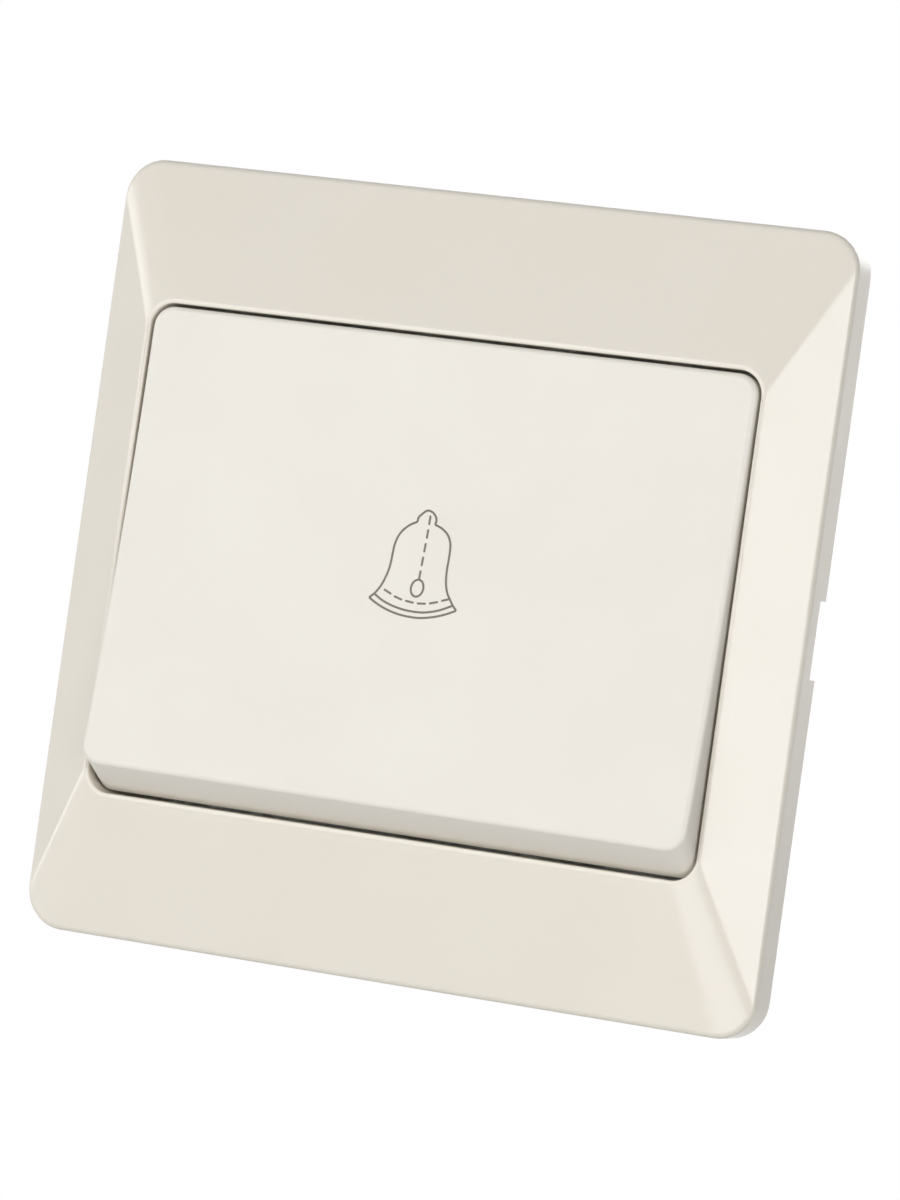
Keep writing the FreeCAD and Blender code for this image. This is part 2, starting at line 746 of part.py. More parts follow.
def make_rocker_key(doc):
    """Wide rocker key: a dished face, a sloped chin below and a hollow back with snap posts."""
    body = new_body(doc, "rocker_key")
    half = opening_width / 2 - bound("key_gap")
    front = -bound("key_front")
    top = opening_height / 2 - bound("key_top_gap")
    chin_y = front + bound("key_chin_depth")
    chin_z = bound("key_low_gap") - opening_height / 2
    low = chin_z + bound("key_chin_drop")
    back = front + bound("key_depth")
    middle = (top + low) / 2

    def side_view(sketch):
        corners = [(front, low), (chin_y, chin_z), (back, chin_z), (back, top), (front, top)]
        for start, end in zip(corners, corners[1:]):
            sketch.addGeometry(Part.LineSegment(flat(start), flat(end)))
        dish = Part.Arc(flat((front, top)), flat((front + bound("key_dish"), middle)), flat((front, low)))
        sketch.addGeometry(dish)
        for i in range(3):
            sketch.addConstraint(Sketcher.Constraint("Coincident", i, 2, i + 1, 1))
        arc_start = 1 if sketch.getPoint(4, 1).distanceToPoint(flat((front, top))) < 1e-6 else 2
        sketch.addConstraint(Sketcher.Constraint("Coincident", 3, 2, 4, arc_start))
        sketch.addConstraint(Sketcher.Constraint("Coincident", 4, 3 - arc_start, 0, 1))
        for i, corner in enumerate(corners[:-1]):
            place_vertex(sketch, i, 1, corner)
        place_vertex(sketch, 3, 2, corners[-1])
        chord = (top - low) / 2
        dish_radius = (chord * chord + bound("key_dish") * bound("key_dish")) / (2 * bound("key_dish"))
        set_radius(sketch, 4, dish_radius)

    extrude(body, "outer_form", "x", -half, half, side_view)

    def is_corner(edge):
        box = edge.BoundBox
        at_side = abs(abs(box.Center.x) - half.number) < NEAR and box.XLength < NEAR
        far_up = abs(box.Center.z) > min(top.number, -low.number) - NEAR
        straight = edge.Curve.TypeId == "Part::GeomLine"
        return at_side and far_up and straight and box.YLength > NEAR

    round_edges(body, "corners", bound("key_corner"), is_corner)

    def is_face_edge(edge):
        return edge.BoundBox.YMax < (front + bound("key_dish")).number + NEAR

    round_edges(body, "face_edge", bound("key_edge"), is_face_edge)
    wall = bound("key_wall")
    roof = front + bound("key_roof")

    def hollow(sketch):
        draw_box(sketch, wall - half, half - wall, low + wall / 2, top - wall)

    extrude(body, "hollow", "y", roof, back, hollow, cut=True)

    def posts(sketch):
        for hand, side in screw_spots:
            draw_circle(sketch, (bound("post_place_x") * hand, post_z * side), bound("post_diameter"))

    extrude(body, "snap_posts", "y", roof - overlap, roof + bound("post_length"), posts)

    def ribs(sketch):
        for hand in (-1, 1):
            for count in range(2):
                place = bound("key_rib_place") + count * bound("key_rib_step")
                near, far = side_span(hand, place, place + bound("key_rib_thick"))
                draw_box(sketch, near, far, low, top - wall / 2)

    extrude(body, "stiffening_ribs", "y", roof - overlap, roof + bound("key_rib_high"), ribs)
    hang_on_pivot(body)
    return body


def make_rocker_cradle(doc):
    """Cradle under the key: plate with two eared trunnions, spring guides and the nose on the contact."""
    body = new_body(doc, "rocker_cradle")
    roof = bound("key_roof") - bound("key_front")
    plate_back = roof + bound("cradle_plate")
    half = cradle_half
    high = cradle_high
    trunnion = bound("trunnion_diameter")

    extrude(body, "plate", "y", roof, plate_back, plain_box(-half, half, -high, high))

    def post_holes(sketch):
        for hand, side in screw_spots:
            spot = (bound("post_place_x") * hand, post_z * side)
            draw_circle(sketch, spot, bound("post_diameter") + 2 * bound("post_fit"))

    extrude(body, "post_holes", "y", roof, plate_back, post_holes, cut=True)
    ear_radius = trunnion / 2 + bound("cradle_ear_rim")

    def ear(sketch):
        draw_box(sketch, plate_back - overlap, ear_radius, -ear_radius, ear_radius)

    for hand in (-1, 1):
        name = "left" if hand < 0 else "right"
        near, far = side_span(hand, half - bound("cradle_ear"), half)
        extrude(body, "ear_" + name, "x", near, far, ear)
        near, far = side_span(hand, half - bound("trunnion_root"), collar_width / 2)
        extrude(body, "trunnion_" + name, "x", near, far, circle((0, 0), trunnion))
    root = plate_back - overlap
    back = bound("nose_back")
    drop = bound("nose_inset") - window_height / 2
    tip = bound("nose_tip")

    root_low = bound("nose_root_low") - high
    root_high = bound("nose_root_high") + drop
    width = bound("nose_width")
    side_view = [(root, root_low), (back, drop - tip), (back, drop + tip), (root, root_high)]
    extrude(body, "nose", "x", -width / 2, width / 2, outline_of(side_view))
    extrude(body, "nose_end", "x", -width / 2, width / 2, circle((back, drop), 2 * tip))
    extrude(body, "spring_guides", "y", root, plate_back + bound("guide_length"), return_guides)
    hang_on_pivot(body)
    return body


def return_guides(sketch):
    """Two round guides at the return springs."""
    for hand in (-1, 1):
        draw_circle(sketch, (return_x * hand, -return_z), bound("guide_diameter"))


def make_bearing_cover(doc):
    """Front half of the mechanism: plate, collar through the strap's window and two bearing lugs."""
    body = new_body(doc, "bearing_cover")
    width = bound("case_width")
    height = bound("case_height")
    collar_front = -bound("collar_front")
    corner = bound("window_corner")

    def window(sketch):
        draw_rounded(sketch, window_width, window_height, corner)

    extrude(body, "plate", "y", 0, base_front, rounded_box(width, height, bound("case_corner")))
    extrude(body, "collar", "y", collar_front, overlap, rounded_box(collar_width, collar_height, corner))
    extrude(body, "window", "y", collar_front, base_front, window, cut=True)
    pivot = (-bound("pivot_front"), 0)
    bearing = bound("trunnion_diameter") + 2 * bound("trunnion_fit")
    for hand in (-1, 1):
        name = "left" if hand < 0 else "right"
        near, far = side_span(hand, window_width / 2, collar_width / 2)
        extrude(body, "lug_" + name, "x", near, far, lug(pivot, bound("lug_radius"), -overlap))
        extrude(body, "bearing_" + name, "x", near, far, circle(pivot, bearing), cut=True)
    extrude(body, "screw_holes", "y", 0, base_front, screw_holes, cut=True)
    return body


def make_mechanism_base(doc):
    """Rear half of the mechanism: moulded box with the contact cavity and two terminal bays."""
    body = new_body(doc, "mechanism_base")
    width = bound("case_width")
    height = bound("case_height")
    bay_z = bound("bay_height") / 2
    floor = cavity_floor

    def is_rear(edge):
        return edge.BoundBox.YMin > base_back.number - NEAR

    extrude(body, "block", "y", base_front, base_back, rounded_box(width, height, bound("case_corner")))
    bevel_edges(body, "rear_edge", bound("base_edge"), is_rear)
    cavity = plain_box(-cavity_half_x, cavity_half_x, -cavity_half_z, cavity_half_z)
    extrude(body, "cavity", "y", base_front, floor, cavity, cut=True)
    bays = plain_box(-bay_side, bay_side, -bay_z, bay_z)
    extrude(body, "side_bays", "y", base_front, floor, bays, cut=True)
    rim = bound("rear_rim")
    rear = base_back - bound("rear_recess")
    panel_x = terminal_near - rim
    panel_z = height / 2 - rim
    panel = plain_box(-panel_x, panel_x, -panel_z, panel_z)
    extrude(body, "rear_panel", "y", rear, base_back, panel, cut=True)
    for hand in (-1, 1):
        add_terminal_bay(body, hand)
    bore_end = strap_front + bound("screw_length") + bound("screw_end_gap")
    extrude(body, "screw_bores", "y", base_front, bore_end, screw_holes, cut=True)

    def seats(sketch):
        for hand in (-1, 1):
            draw_circle(sketch, (return_x * hand, -return_z), bound("seat_diameter"))

    seat = bound("return_seat")
    extrude(body, "spring_seats", "y", seat, floor + overlap, seats)
    extrude(body, "seat_guides", "y", seat - bound("guide_length"), seat + overlap, return_guides)
    return body


def add_terminal_bay(body, hand):
    """Pocket for one terminal, its flared wire entry behind and the opening for its screw at the side."""
    name = "left" if hand < 0 else "right"
    fit = bound("terminal_fit")
    pocket_back = cavity_floor + bound("terminal_depth") + fit
    half_terminal = bound("terminal_height") / 2 + fit
    half_entry = bound("entry_side") / 2
    near, far = side_span(hand, terminal_near - fit, bay_side)
    extrude(body, "terminal_pocket_" + name, "y", cavity_floor, pocket_back,
            plain_box(near, far, -half_terminal, half_terminal), cut=True)

    def entry(half):
        left, right = side_span(hand, terminal_middle - half, terminal_middle + half)
        return plain_box(left, right, -half, half)

    extrude(body, "wire_entry_" + name, "y", pocket_back, base_back, entry(half_entry), cut=True)
    flare = bound("entry_flare")
    sections = [(base_back - flare, entry(half_entry)), (base_back, entry(half_entry + flare))]
    loft(body, "entry_flare_" + name, sections, cut=True)
    side_near, side_far = side_span(hand, bay_side, bound("case_width") / 2)
    access = bound("clamp_head") + 2 * bound("clamp_inset")
    extrude(body, "screw_access_" + name, "x", side_near, side_far, circle((clamp_y, 0), access),
            cut=True)


def make_terminal(doc, name, hand):
    """Brass terminal block with a square wire way from behind and a threaded hole from the side."""
    body = new_body(doc, name)
    half = bound("terminal_height") / 2
    back = cavity_floor + bound("terminal_depth")
    entry = bound("entry_side") / 2 - bound("terminal_fit")
    thread = bound("clamp_shank") + 2 * bound("screw_fit")
    near, far = side_span(hand, terminal_near, terminal_far)
    extrude(body, "block", "y", cavity_floor, back, plain_box(near, far, -half, half))
    way_near, way_far = side_span(hand, terminal_middle - entry, terminal_middle + entry)
    extrude(body, "wire_way", "y", cavity_floor + bound("terminal_front"), back,
            plain_box(way_near, way_far, -entry, entry), cut=True)
    bore_near, bore_far = side_span(hand, terminal_middle, terminal_far)
    extrude(body, "thread", "x", bore_near, bore_far, circle((clamp_y, 0), thread), cut=True)
    return body


def make_terminal_screw(doc, name, hand):
    """Clamping screw of a terminal, which enters from the side of the mechanism."""
    body = new_body(doc, name)
    head_top = terminal_far + bound("clamp_head_high")
    half = bound("slot_width") / 2
    reach = bound("clamp_head")
    tip, seat = side_span(hand, terminal_middle + bound("clamp_open"), terminal_far)
    extrude(body, "shank", "x", tip, seat, circle((clamp_y, 0), bound("clamp_shank")))
    under, top = side_span(hand, terminal_far, head_top)
    extrude(body, "head", "x", under, top, circle((clamp_y, 0), bound("clamp_head")))
    low, high = side_span(hand, head_top - bound("slot_depth"), head_top)
    extrude(body, "driver_slot", "x", low, high, plain_box(clamp_y - reach, clamp_y + reach, -half, half),
            cut=True)
    return body


def make_strap_screw(doc, name, hand, side):
    """Screw that holds the mechanism to the strap from the front."""
    body = new_body(doc, name)
    x = screw_x * hand
    z = screw_z * side
    top = strap_front - bound("screw_head_high")
    end = strap_front + bound("screw_length")
    half = bound("slot_width") / 2
    reach = bound("screw_head")
    extrude(body, "shank", "y", strap_front, end, circle((x, z), bound("screw_shank")))
    extrude(body, "head", "y", top, strap_front, circle((x, z), bound("screw_head")))
    extrude(body, "driver_slot", "y", top, top + bound("slot_depth"),
            plain_box(x - reach, x + reach, z - half, z + half), cut=True)
    return body


def make_fixed_contact(doc):
    """Brass strip on the cavity's floor, from the left terminal to the fixed contact."""
    body = new_body(doc, "fixed_contact_strip")
    gap = bound("strip_edge_gap")
    left = gap - terminal_far
    wall = gap - cavity_half_x
    inner = wall + bound("strip_width")
    upper = bound("terminal_height") / 2 - gap
    lower = bound("strip_end") - contact_drop
    end = bound("contact_diameter") / 2 + bound("strip_rim")
    bottom = gap - cavity_half_z
    rows = [(left, upper), (inner, upper), (inner, lower), (end, lower), (end, bottom), (wall, bottom),
            (wall, -upper), (left, -upper)]
    extrude(body, "strip", "y", strip_front, cavity_floor, outline_of(rows))
    hole = bound("contact_shank") + 2 * bound("contact_fit")
    extrude(body, "rivet_hole", "y", strip_front, cavity_floor, circle((0, -contact_drop), hole),
            cut=True)
    return body


def make_contact_tip(doc, name, head_front, head_back, shank_front, shank_back):
    """Silver contact rivet: a low round head and a short shank."""
    body = new_body(doc, name)
    spot = (0, -contact_drop)
    extrude(body, "head", "y", head_front, head_back, circle(spot, bound("contact_diameter")))
    extrude(body, "shank", "y", shank_front, shank_back, circle(spot, bound("contact_shank")))
    return body


def make_hinge_bracket(doc):
    """Brass bracket from the right terminal to the two lugs that carry the contact arm's pin."""
    body = new_body(doc, "hinge_bracket")
    gap = bound("strip_edge_gap")
    right = terminal_far - gap
    wall = cavity_half_x - gap
    leg = wall - bound("bracket_leg")
    upper = bound("terminal_height") / 2 - gap
    foot = -bound("bracket_foot")
    top = hinge_rise + bound("bracket_over")
    under = hinge_rise - bound("bracket_under")
    rows = [(right, foot), (right, upper), (wall, upper), (wall, top), (-lug_far, top), (-lug_far, under),
            (leg, under), (leg, foot)]
    extrude(body, "strip", "y", strip_front, cavity_floor, outline_of(rows))
    radius = bound("pin_diameter") / 2 + bound("bracket_lug_rim")
    root = strip_front + bound("bracket_lug_root")
    spot = (hinge_y, hinge_rise)
    hole = bound("pin_diameter") + 2 * bound("contact_fit")
    for hand in (-1, 1):
        name = "left" if hand < 0 else "right"
        near, far = side_span(hand, lug_near, lug_far)
        extrude(body, "lug_" + name, "x", near, far, lug(spot, radius, root))
        extrude(body, "pin_hole_" + name, "x", near, far, circle(spot, hole), cut=True)
    return body


def make_arm_pin(doc):
    """Steel pin through the bracket's lugs and the contact arm's rolled eye."""
    body = new_body(doc, "arm_pin")
    half = lug_far + bound("pin_end")
    extrude(body, "pin", "x", -half, half, circle((hinge_y, hinge_rise), bound("pin_diameter")))
    return body


def make_contact_arm(doc):
    """Moving contact arm: bronze strip with a rolled eye at its upper end."""
    body = new_body(doc, "contact_arm")
    spot = (hinge_y, hinge_rise)
    half = bound("arm_width") / 2
    low = -(contact_drop + bound("arm_end"))
    hole = bound("pin_diameter") + 2 * bound("contact_fit")
    rivet = bound("contact_shank") + 2 * bound("contact_fit")
    extrude(body, "strip", "x", -half, half, plain_box(arm_face, arm_back, low, hinge_rise))
    extrude(body, "eye", "x", -eye_half, eye_half, circle(spot, 2 * eye_radius))
    extrude(body, "eye_bore", "x", -eye_half, eye_half, circle(spot, hole), cut=True)
    extrude(body, "rivet_hole", "y", arm_face, arm_back, circle((0, -contact_drop), rivet), cut=True)
    return body


def make_return_spring(doc, name, hand):
    """Compression spring between the mechanism's base and the cradle."""
    body = new_body(doc, name)
    tilt = bound("key_rest_tilt")
    under = bound("key_roof") - bound("key_front") + bound("cradle_plate")
    near = (bound("return_diameter") + bound("return_wire")) / 2 - return_z
    front = under * cosine(tilt) + near * sine(tilt) - bound("pivot_front") + bound("return_gap")
    coil(body, "coil", return_x * hand, -return_z, bound("return_diameter"), bound("return_wire"),
         bound("return_turns"), front, bound("return_seat"))
    return body


def make_arm_spring(doc):
    """Small compression spring that holds the contact arm off the fixed contact."""
    body = new_body(doc, "arm_spring")
    front = arm_back + bound("arm_spring_gap")
    coil(body, "coil", as_size(0), -bound("arm_spring_drop"), bound("arm_spring_diameter"),
         bound("arm_spring_wire"), bound("arm_spring_turns"), front, cavity_floor)
    return body


def build(doc):
    """Make every piece and return them in order."""
    pieces = [
        make_cover_frame(doc),
        make_mounting_strap(doc),
        make_rocker_key(doc),
        make_rocker_cradle(doc),
        make_bearing_cover(doc),
        make_mechanism_base(doc),
    ]
    for name, hand in (("left", -1), ("right", 1)):
        pieces.append(make_terminal(doc, "terminal_" + name, hand))
        pieces.append(make_terminal_screw(doc, "terminal_screw_" + name, hand))
        pieces.append(make_return_spring(doc, "return_spring_" + name, hand))
        for level, side in (("lower", -1), ("upper", 1)):
            pieces.append(make_strap_screw(doc, "strap_screw_%s_%s" % (level, name), hand, side))
    fixed_top = strip_front - bound("fixed_tip_high")
    moving_top = arm_back + bound("moving_tip_high")
    pieces += [
        make_fixed_contact(doc),
        make_contact_tip(doc, "fixed_contact_tip", fixed_top, strip_front, strip_front, cavity_floor),
        make_hinge_bracket(doc),
        make_arm_pin(doc),
        make_contact_arm(doc),
        make_contact_tip(doc, "moving_contact_tip", arm_back, moving_top, arm_face, arm_back),
        make_arm_spring(doc),
    ]
    return pieces


def check(doc, pieces):
    """Stop if any object failed or any piece is empty or unsound."""
    for item in doc.Objects:
        if "Invalid" in item.State or "Error" in item.State:
            raise RuntimeError("%s failed: %s" % (item.Label, item.State))
    for piece in pieces:
        shape = piece.Shape
        if shape.isNull() or not shape.isValid() or not shape.Solids:
            raise RuntimeError("%s has no sound shape" % piece.Label)


def main():
    doc = FreeCAD.newDocument("bell_push")
    make_sheet(doc)
    pieces = build(doc)
    doc.recompute()
    check(doc, pieces)
    os.makedirs("parts", exist_ok=True)
    for piece in pieces:
        piece.Shape.exportStep("parts/%s.step" % piece.Label)
        print("%-24s %3d solid %10.2f mm3" % (piece.Label, len(piece.Shape.Solids), piece.Shape.Volume))


main()
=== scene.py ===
# %% [markdown]
# A flush bell push: a square cream frame with four slopes, a wide rocker key in its opening, and behind them
# a steel strap that carries the mechanism. The sizes were settled before this script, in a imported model. So
# the script loads that model as a fixed frame, dresses it, and never moves or resizes any of it.

# %% Load the fixed frame
import json
import math

import bmesh
import bpy
from mathutils import Matrix, Vector


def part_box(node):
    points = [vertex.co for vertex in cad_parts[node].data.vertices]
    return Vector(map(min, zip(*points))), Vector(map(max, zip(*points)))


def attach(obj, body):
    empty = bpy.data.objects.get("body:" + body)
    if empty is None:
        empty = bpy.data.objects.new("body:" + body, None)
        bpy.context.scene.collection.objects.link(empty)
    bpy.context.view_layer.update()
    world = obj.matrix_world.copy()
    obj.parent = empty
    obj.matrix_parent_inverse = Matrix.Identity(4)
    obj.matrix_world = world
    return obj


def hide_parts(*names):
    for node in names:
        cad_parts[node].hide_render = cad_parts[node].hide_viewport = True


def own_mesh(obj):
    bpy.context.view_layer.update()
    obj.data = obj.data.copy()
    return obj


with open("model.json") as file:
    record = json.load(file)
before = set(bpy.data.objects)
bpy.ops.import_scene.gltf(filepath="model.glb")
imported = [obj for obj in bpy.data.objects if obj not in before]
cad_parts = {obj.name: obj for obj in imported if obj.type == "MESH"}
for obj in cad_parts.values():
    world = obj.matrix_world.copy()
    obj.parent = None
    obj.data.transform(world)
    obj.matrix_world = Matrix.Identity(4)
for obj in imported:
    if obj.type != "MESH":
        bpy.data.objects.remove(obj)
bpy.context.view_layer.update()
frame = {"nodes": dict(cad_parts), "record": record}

# %% [markdown]
# The picture was taken from the right, almost level, with a long lens and a slight roll. A camera is easiest
# to place by its own three directions: where it looks, what is up in the picture, and what is right. They are
# made here from three plain angles and set as one matrix, which avoids every question about the order of
# turns.

# %% Camera
MM = 0.001
LENS = 168.06
NEAR_CLIP = 0.01
EYE = Vector((214.64, -524.35, -4.86)) * MM
YAW = math.radians(22.23)
PITCH = math.radians(0.40)
ROLL = math.radians(7.98)


def new_object(name, data):
    """Object in the scene, left at the origin."""
    made = bpy.data.objects.new(name, data)
    bpy.context.collection.objects.link(made)
    return made


look = Vector((-math.sin(YAW) * math.cos(PITCH), math.cos(YAW) * math.cos(PITCH), math.sin(PITCH)))
level_right = look.cross(Vector((0, 0, 1))).normalized()
level_up = level_right.cross(look)
right = level_right * math.cos(ROLL) + level_up * math.sin(ROLL)
up = level_up * math.cos(ROLL) - level_right * math.sin(ROLL)

camera_data = bpy.data.cameras.new("camera")
camera_data.lens = LENS
camera_data.clip_start = NEAR_CLIP
camera = new_object("camera", camera_data)
turn = Matrix((right, up, -look)).transposed()
camera.matrix_world = Matrix.Translation(EYE) @ turn.to_4x4()
bpy.context.scene.camera = camera
print("camera stands %.0f mm away" % (EYE.length / MM))

# %% [markdown]
# The surroundings are a plain pale floor and a white space. Far away the floor turns to pure white for the
# camera, so no horizon shows, while near the part it is an ordinary matt surface that takes a shadow. The
# world lights the part with a weak grey, and only rays that the camera or a reflection sends out see it as
# white. Every node in this script is added by one helper, which takes a value or another node's output per
# input.

# %% Floor and world
FLOOR_DROP = 1.20
FLOOR_SIZE = 6.0
FLOOR_TONE = (0.88, 0.88, 0.87, 1.0)
FADE_START = 1.5
FADE_END = 2.8
WORLD_GREY = 0.19
WHITE = (1.0, 1.0, 1.0, 1.0)


def feed(tree, socket, value):
    """Give an input a plain value, or join it to an output."""
    if isinstance(value, bpy.types.NodeSocket):
        tree.links.new(value, socket)
    else:
        socket.default_value = value


def node(tree, kind, feeds=None, **settings):
    """Add a node, set its plain properties, and feed its inputs, which go by name or by place."""
    new = tree.nodes.new(kind)
    for name, value in settings.items():
        setattr(new, name, value)
    for name, value in (feeds or {}).items():
        feed(tree, new.inputs[name], value)
    return new


def calc(tree, operation, *values, clamp=False):
    """Result socket of a sum on sockets or numbers."""
    feeds = dict(enumerate(values))
    return node(tree, "ShaderNodeMath", feeds, operation=operation, use_clamp=clamp).outputs[0]


def bare_tree(owner):
    """Node tree of a world or a material, emptied."""
    owner.use_nodes = True
    owner.node_tree.nodes.clear()
    return owner.node_tree


def seen_directly(tree):
    """One for rays from the camera, a reflection or a clear material, and nought for the others."""
    path = node(tree, "ShaderNodeLightPath").outputs
    direct = calc(tree, "MAXIMUM", path["Is Camera Ray"], path["Is Glossy Ray"])
    return calc(tree, "MAXIMUM", direct, path["Is Transmission Ray"])


def picked(tree, share, first, second):
    """Output of a shader mixed from two others by a share."""
    feeds = {"Fac": share, 1: first.outputs[0], 2: second.outputs[0]}
    return node(tree, "ShaderNodeMixShader", feeds).outputs[0]


world = bpy.data.worlds.new("white_space")
bpy.context.scene.world = world
tree = bare_tree(world)
dim = node(tree, "ShaderNodeBackground", {"Color": WHITE, "Strength": WORLD_GREY})
bright = node(tree, "ShaderNodeBackground", {"Color": WHITE, "Strength": 1.0})
node(tree, "ShaderNodeOutputWorld", {"Surface": picked(tree, seen_directly(tree), dim, bright)})

half = FLOOR_SIZE / 2
corners = [(x, y, -FLOOR_DROP) for x, y in ((-half, -half), (half, -half), (half, half), (-half, half))]
floor_mesh = bpy.data.meshes.new("floor")
floor_mesh.from_pydata(corners, [], [(0, 1, 2, 3)])
floor = new_object("floor", floor_mesh)

floor_paint = bpy.data.materials.new("floor_paint")
tree = bare_tree(floor_paint)
matt = node(tree, "ShaderNodeBsdfDiffuse", {"Color": FLOOR_TONE})
white = node(tree, "ShaderNodeEmission")
place = node(tree, "ShaderNodeTexCoord").outputs["Object"]
distance = node(tree, "ShaderNodeVectorMath", {0: place}, operation="LENGTH").outputs["Value"]
fade = node(tree, "ShaderNodeMapRange", {"Value": distance, "From Min": FADE_START, "From Max": FADE_END},
            interpolation_type="SMOOTHSTEP").outputs["Result"]
share = calc(tree, "MULTIPLY", fade, seen_directly(tree))
node(tree, "ShaderNodeOutputMaterial", {"Surface": picked(tree, share, matt, white)})
floor_mesh.materials.append(floor_paint)
print("floor lies %.0f mm below the middle" % (FLOOR_DROP / MM))

# %% [markdown]
# Six large soft lamps do the rest. Soft, because a broad source gives cream plastic its calm, even tone. The
# strongest stands on the right, which is why the right slope is the palest, and one low in front lights the
# chin under the key. Two on the left and a weak one above keep the other slopes from going grey, and one
# behind shows the back. A slope's brightness is the plain sum of what each lamp gives it, so their watts were
# found one by one.

# %% Lamps


def soft_lamp(name, at, size, watts):
    """Square area lamp that looks at the middle of the part."""
    data = bpy.data.lights.new(name, "AREA")
    data.shape = "SQUARE"
    data.size = size
    data.energy = watts
    lamp = new_object(name, data)
    lamp.location = at
    lamp.rotation_mode = "QUATERNION"
    lamp.rotation_quaternion = Vector(at).to_track_quat("Z", "Y")


LAMPS = {
    "lamp_right": ((1.0, -0.9, 0.05), 0.7, 7.9),
    "lamp_low": ((0.0, -1.1, -0.75), 0.7, 4.3),
    "lamp_front_left": ((-0.6, -1.25, 0.25), 0.7, 5.0),
    "lamp_left": ((-1.3, -0.5, 0.1), 0.7, 5.7),
    "lamp_above": ((0.0, -0.6, 1.3), 0.8, 1.1),
    "lamp_behind": ((0.0, 1.3, 0.35), 0.8, 4.0),
}
for name, (at, size, watts) in LAMPS.items():
    soft_lamp(name, at, size, watts)
print("lamps:", ", ".join(LAMPS))

# %% [markdown]
# Moulded plastic is never quite even: the melt leaves faint clouds of tone as it flows, the tool leaves a
# fine grain or a slow ripple, and the gloss wanders a little. All the plastics here share that one effect, so
# it is a node group with its own inputs, built once. It reads Object coordinates, which suit pieces that have
# no seams, and puts out a colour, a roughness and a height, because shaders themselves stay in each material.

# %% Node group for moulded plastic
NOISE_LOW = 0.3
NOISE_HIGH = 0.7
GLOSS_SCALE = 150.0
RIPPLE_SCALE = 220.0
MIX_SOCKETS = {"RGBA": (6, 7, 2), "FLOAT": (2, 3, 0)}


def new_group(name, inputs):
    """Shader node group and its input sockets, with the three outputs that every finish needs."""
    group = bpy.data.node_groups.new(name, "ShaderNodeTree")
    for title, value in inputs.items():
        kind = "Float" if isinstance(value, float) else {3: "Vector", 4: "Color"}[len(value)]
        socket = group.interface.new_socket(title, in_out="INPUT", socket_type="NodeSocket" + kind)
        socket.default_value = value
    for title, kind in (("Color", "Color"), ("Roughness", "Float"), ("Height", "Float")):
        group.interface.new_socket(title, in_out="OUTPUT", socket_type="NodeSocket" + kind)
    return group, node(group, "NodeGroupInput").outputs


def noise(tree, vector, scale, detail=2.0):
    """Noise texture at a scale that may be a number or a socket."""
    feeds = {"Vector": vector, "Scale": scale, "Detail": detail}
    return node(tree, "ShaderNodeTexNoise", feeds).outputs["Fac"]


def spread(tree, value, low, high):
    """Carry a noise value, which keeps near a half, over to the span between two sockets or numbers."""
    feeds = {"Value": value, "From Min": NOISE_LOW, "From Max": NOISE_HIGH, "To Min": low, "To Max": high}
    return node(tree, "ShaderNodeMapRange", feeds).outputs["Result"]


def blend(tree, kind, share, first, second):
    """Mix two sockets by a share, both colours (RGBA) or both plain values (FLOAT)."""
    a, b, out = MIX_SOCKETS[kind]
    return node(tree, "ShaderNodeMix", {"Factor": share, a: first, b: second}, data_type=kind).outputs[out]


moulded, given = new_group("moulded_skin", {
    "Tone": (0.8, 0.8, 0.8, 1.0), "Cloud Tone": (0.7, 0.7, 0.7, 1.0), "Cloud Scale": 60.0,
    "Grain Scale": 4000.0, "Ripple Share": 0.5, "Gloss Low": 0.2, "Gloss High": 0.3,
})
place = node(moulded, "ShaderNodeTexCoord").outputs["Object"]
cloud = spread(moulded, noise(moulded, place, given["Cloud Scale"], 3.0), 0.0, 1.0)
wander = noise(moulded, place, GLOSS_SCALE)
grain = noise(moulded, place, given["Grain Scale"], 1.0)
ripple = noise(moulded, place, RIPPLE_SCALE, 1.0)
node(moulded, "NodeGroupOutput", {
    "Color": blend(moulded, "RGBA", cloud, given["Tone"], given["Cloud Tone"]),
    "Roughness": spread(moulded, wander, given["Gloss Low"], given["Gloss High"]),
    "Height": blend(moulded, "FLOAT", given["Ripple Share"], grain, ripple),
})
print("group:", moulded.name)

# %% [markdown]
# Sheet and wire show how they were made: rolled strip has fine streaks along one direction, galvanised sheet
# has large crystals, each with its own brightness, and handling leaves softer and sharper spots. One group
# serves all the metals, with the size of the crystals, the stretch of the streaks and both tones as inputs.

# %% Node group for worked metal
worked, given = new_group("worked_metal", {
    "Tone": (0.6, 0.6, 0.6, 1.0), "Dark Tone": (0.4, 0.4, 0.4, 1.0), "Crystal Scale": 520.0,
    "Crystal Share": 0.5, "Streak Scale": 3000.0, "Streak Stretch": (1.0, 1.0, 0.05),
    "Gloss Low": 0.25, "Gloss High": 0.45,
})
place = node(worked, "ShaderNodeTexCoord").outputs["Object"]
cells = node(worked, "ShaderNodeTexVoronoi", {"Vector": place, "Scale": given["Crystal Scale"]})
shine = node(worked, "ShaderNodeSeparateColor", {"Color": cells.outputs["Color"]}).outputs["Red"]
stretch = node(worked, "ShaderNodeVectorMath", {0: place, 1: given["Streak Stretch"]}, operation="MULTIPLY")
streaks = noise(worked, stretch.outputs[0], given["Streak Scale"])
both = blend(worked, "FLOAT", given["Crystal Share"], streaks, shine)
node(worked, "NodeGroupOutput", {
    "Color": blend(worked, "RGBA", both, given["Tone"], given["Dark Tone"]),
    "Roughness": spread(worked, both, given["Gloss Low"], given["Gloss High"]),
    "Height": streaks,
})
print("group:", worked.name)

# %% [markdown]
# Each finish is then a short recipe: which group, with which values, and how metallic. The frame is glossy
# cream plastic with a slow ripple. The key is the same cream with a fine satin grain, the usual pairing,
# because a finger touches it. The mechanism is a matt thermoset, and what carries current is brass, bronze
# and silver.

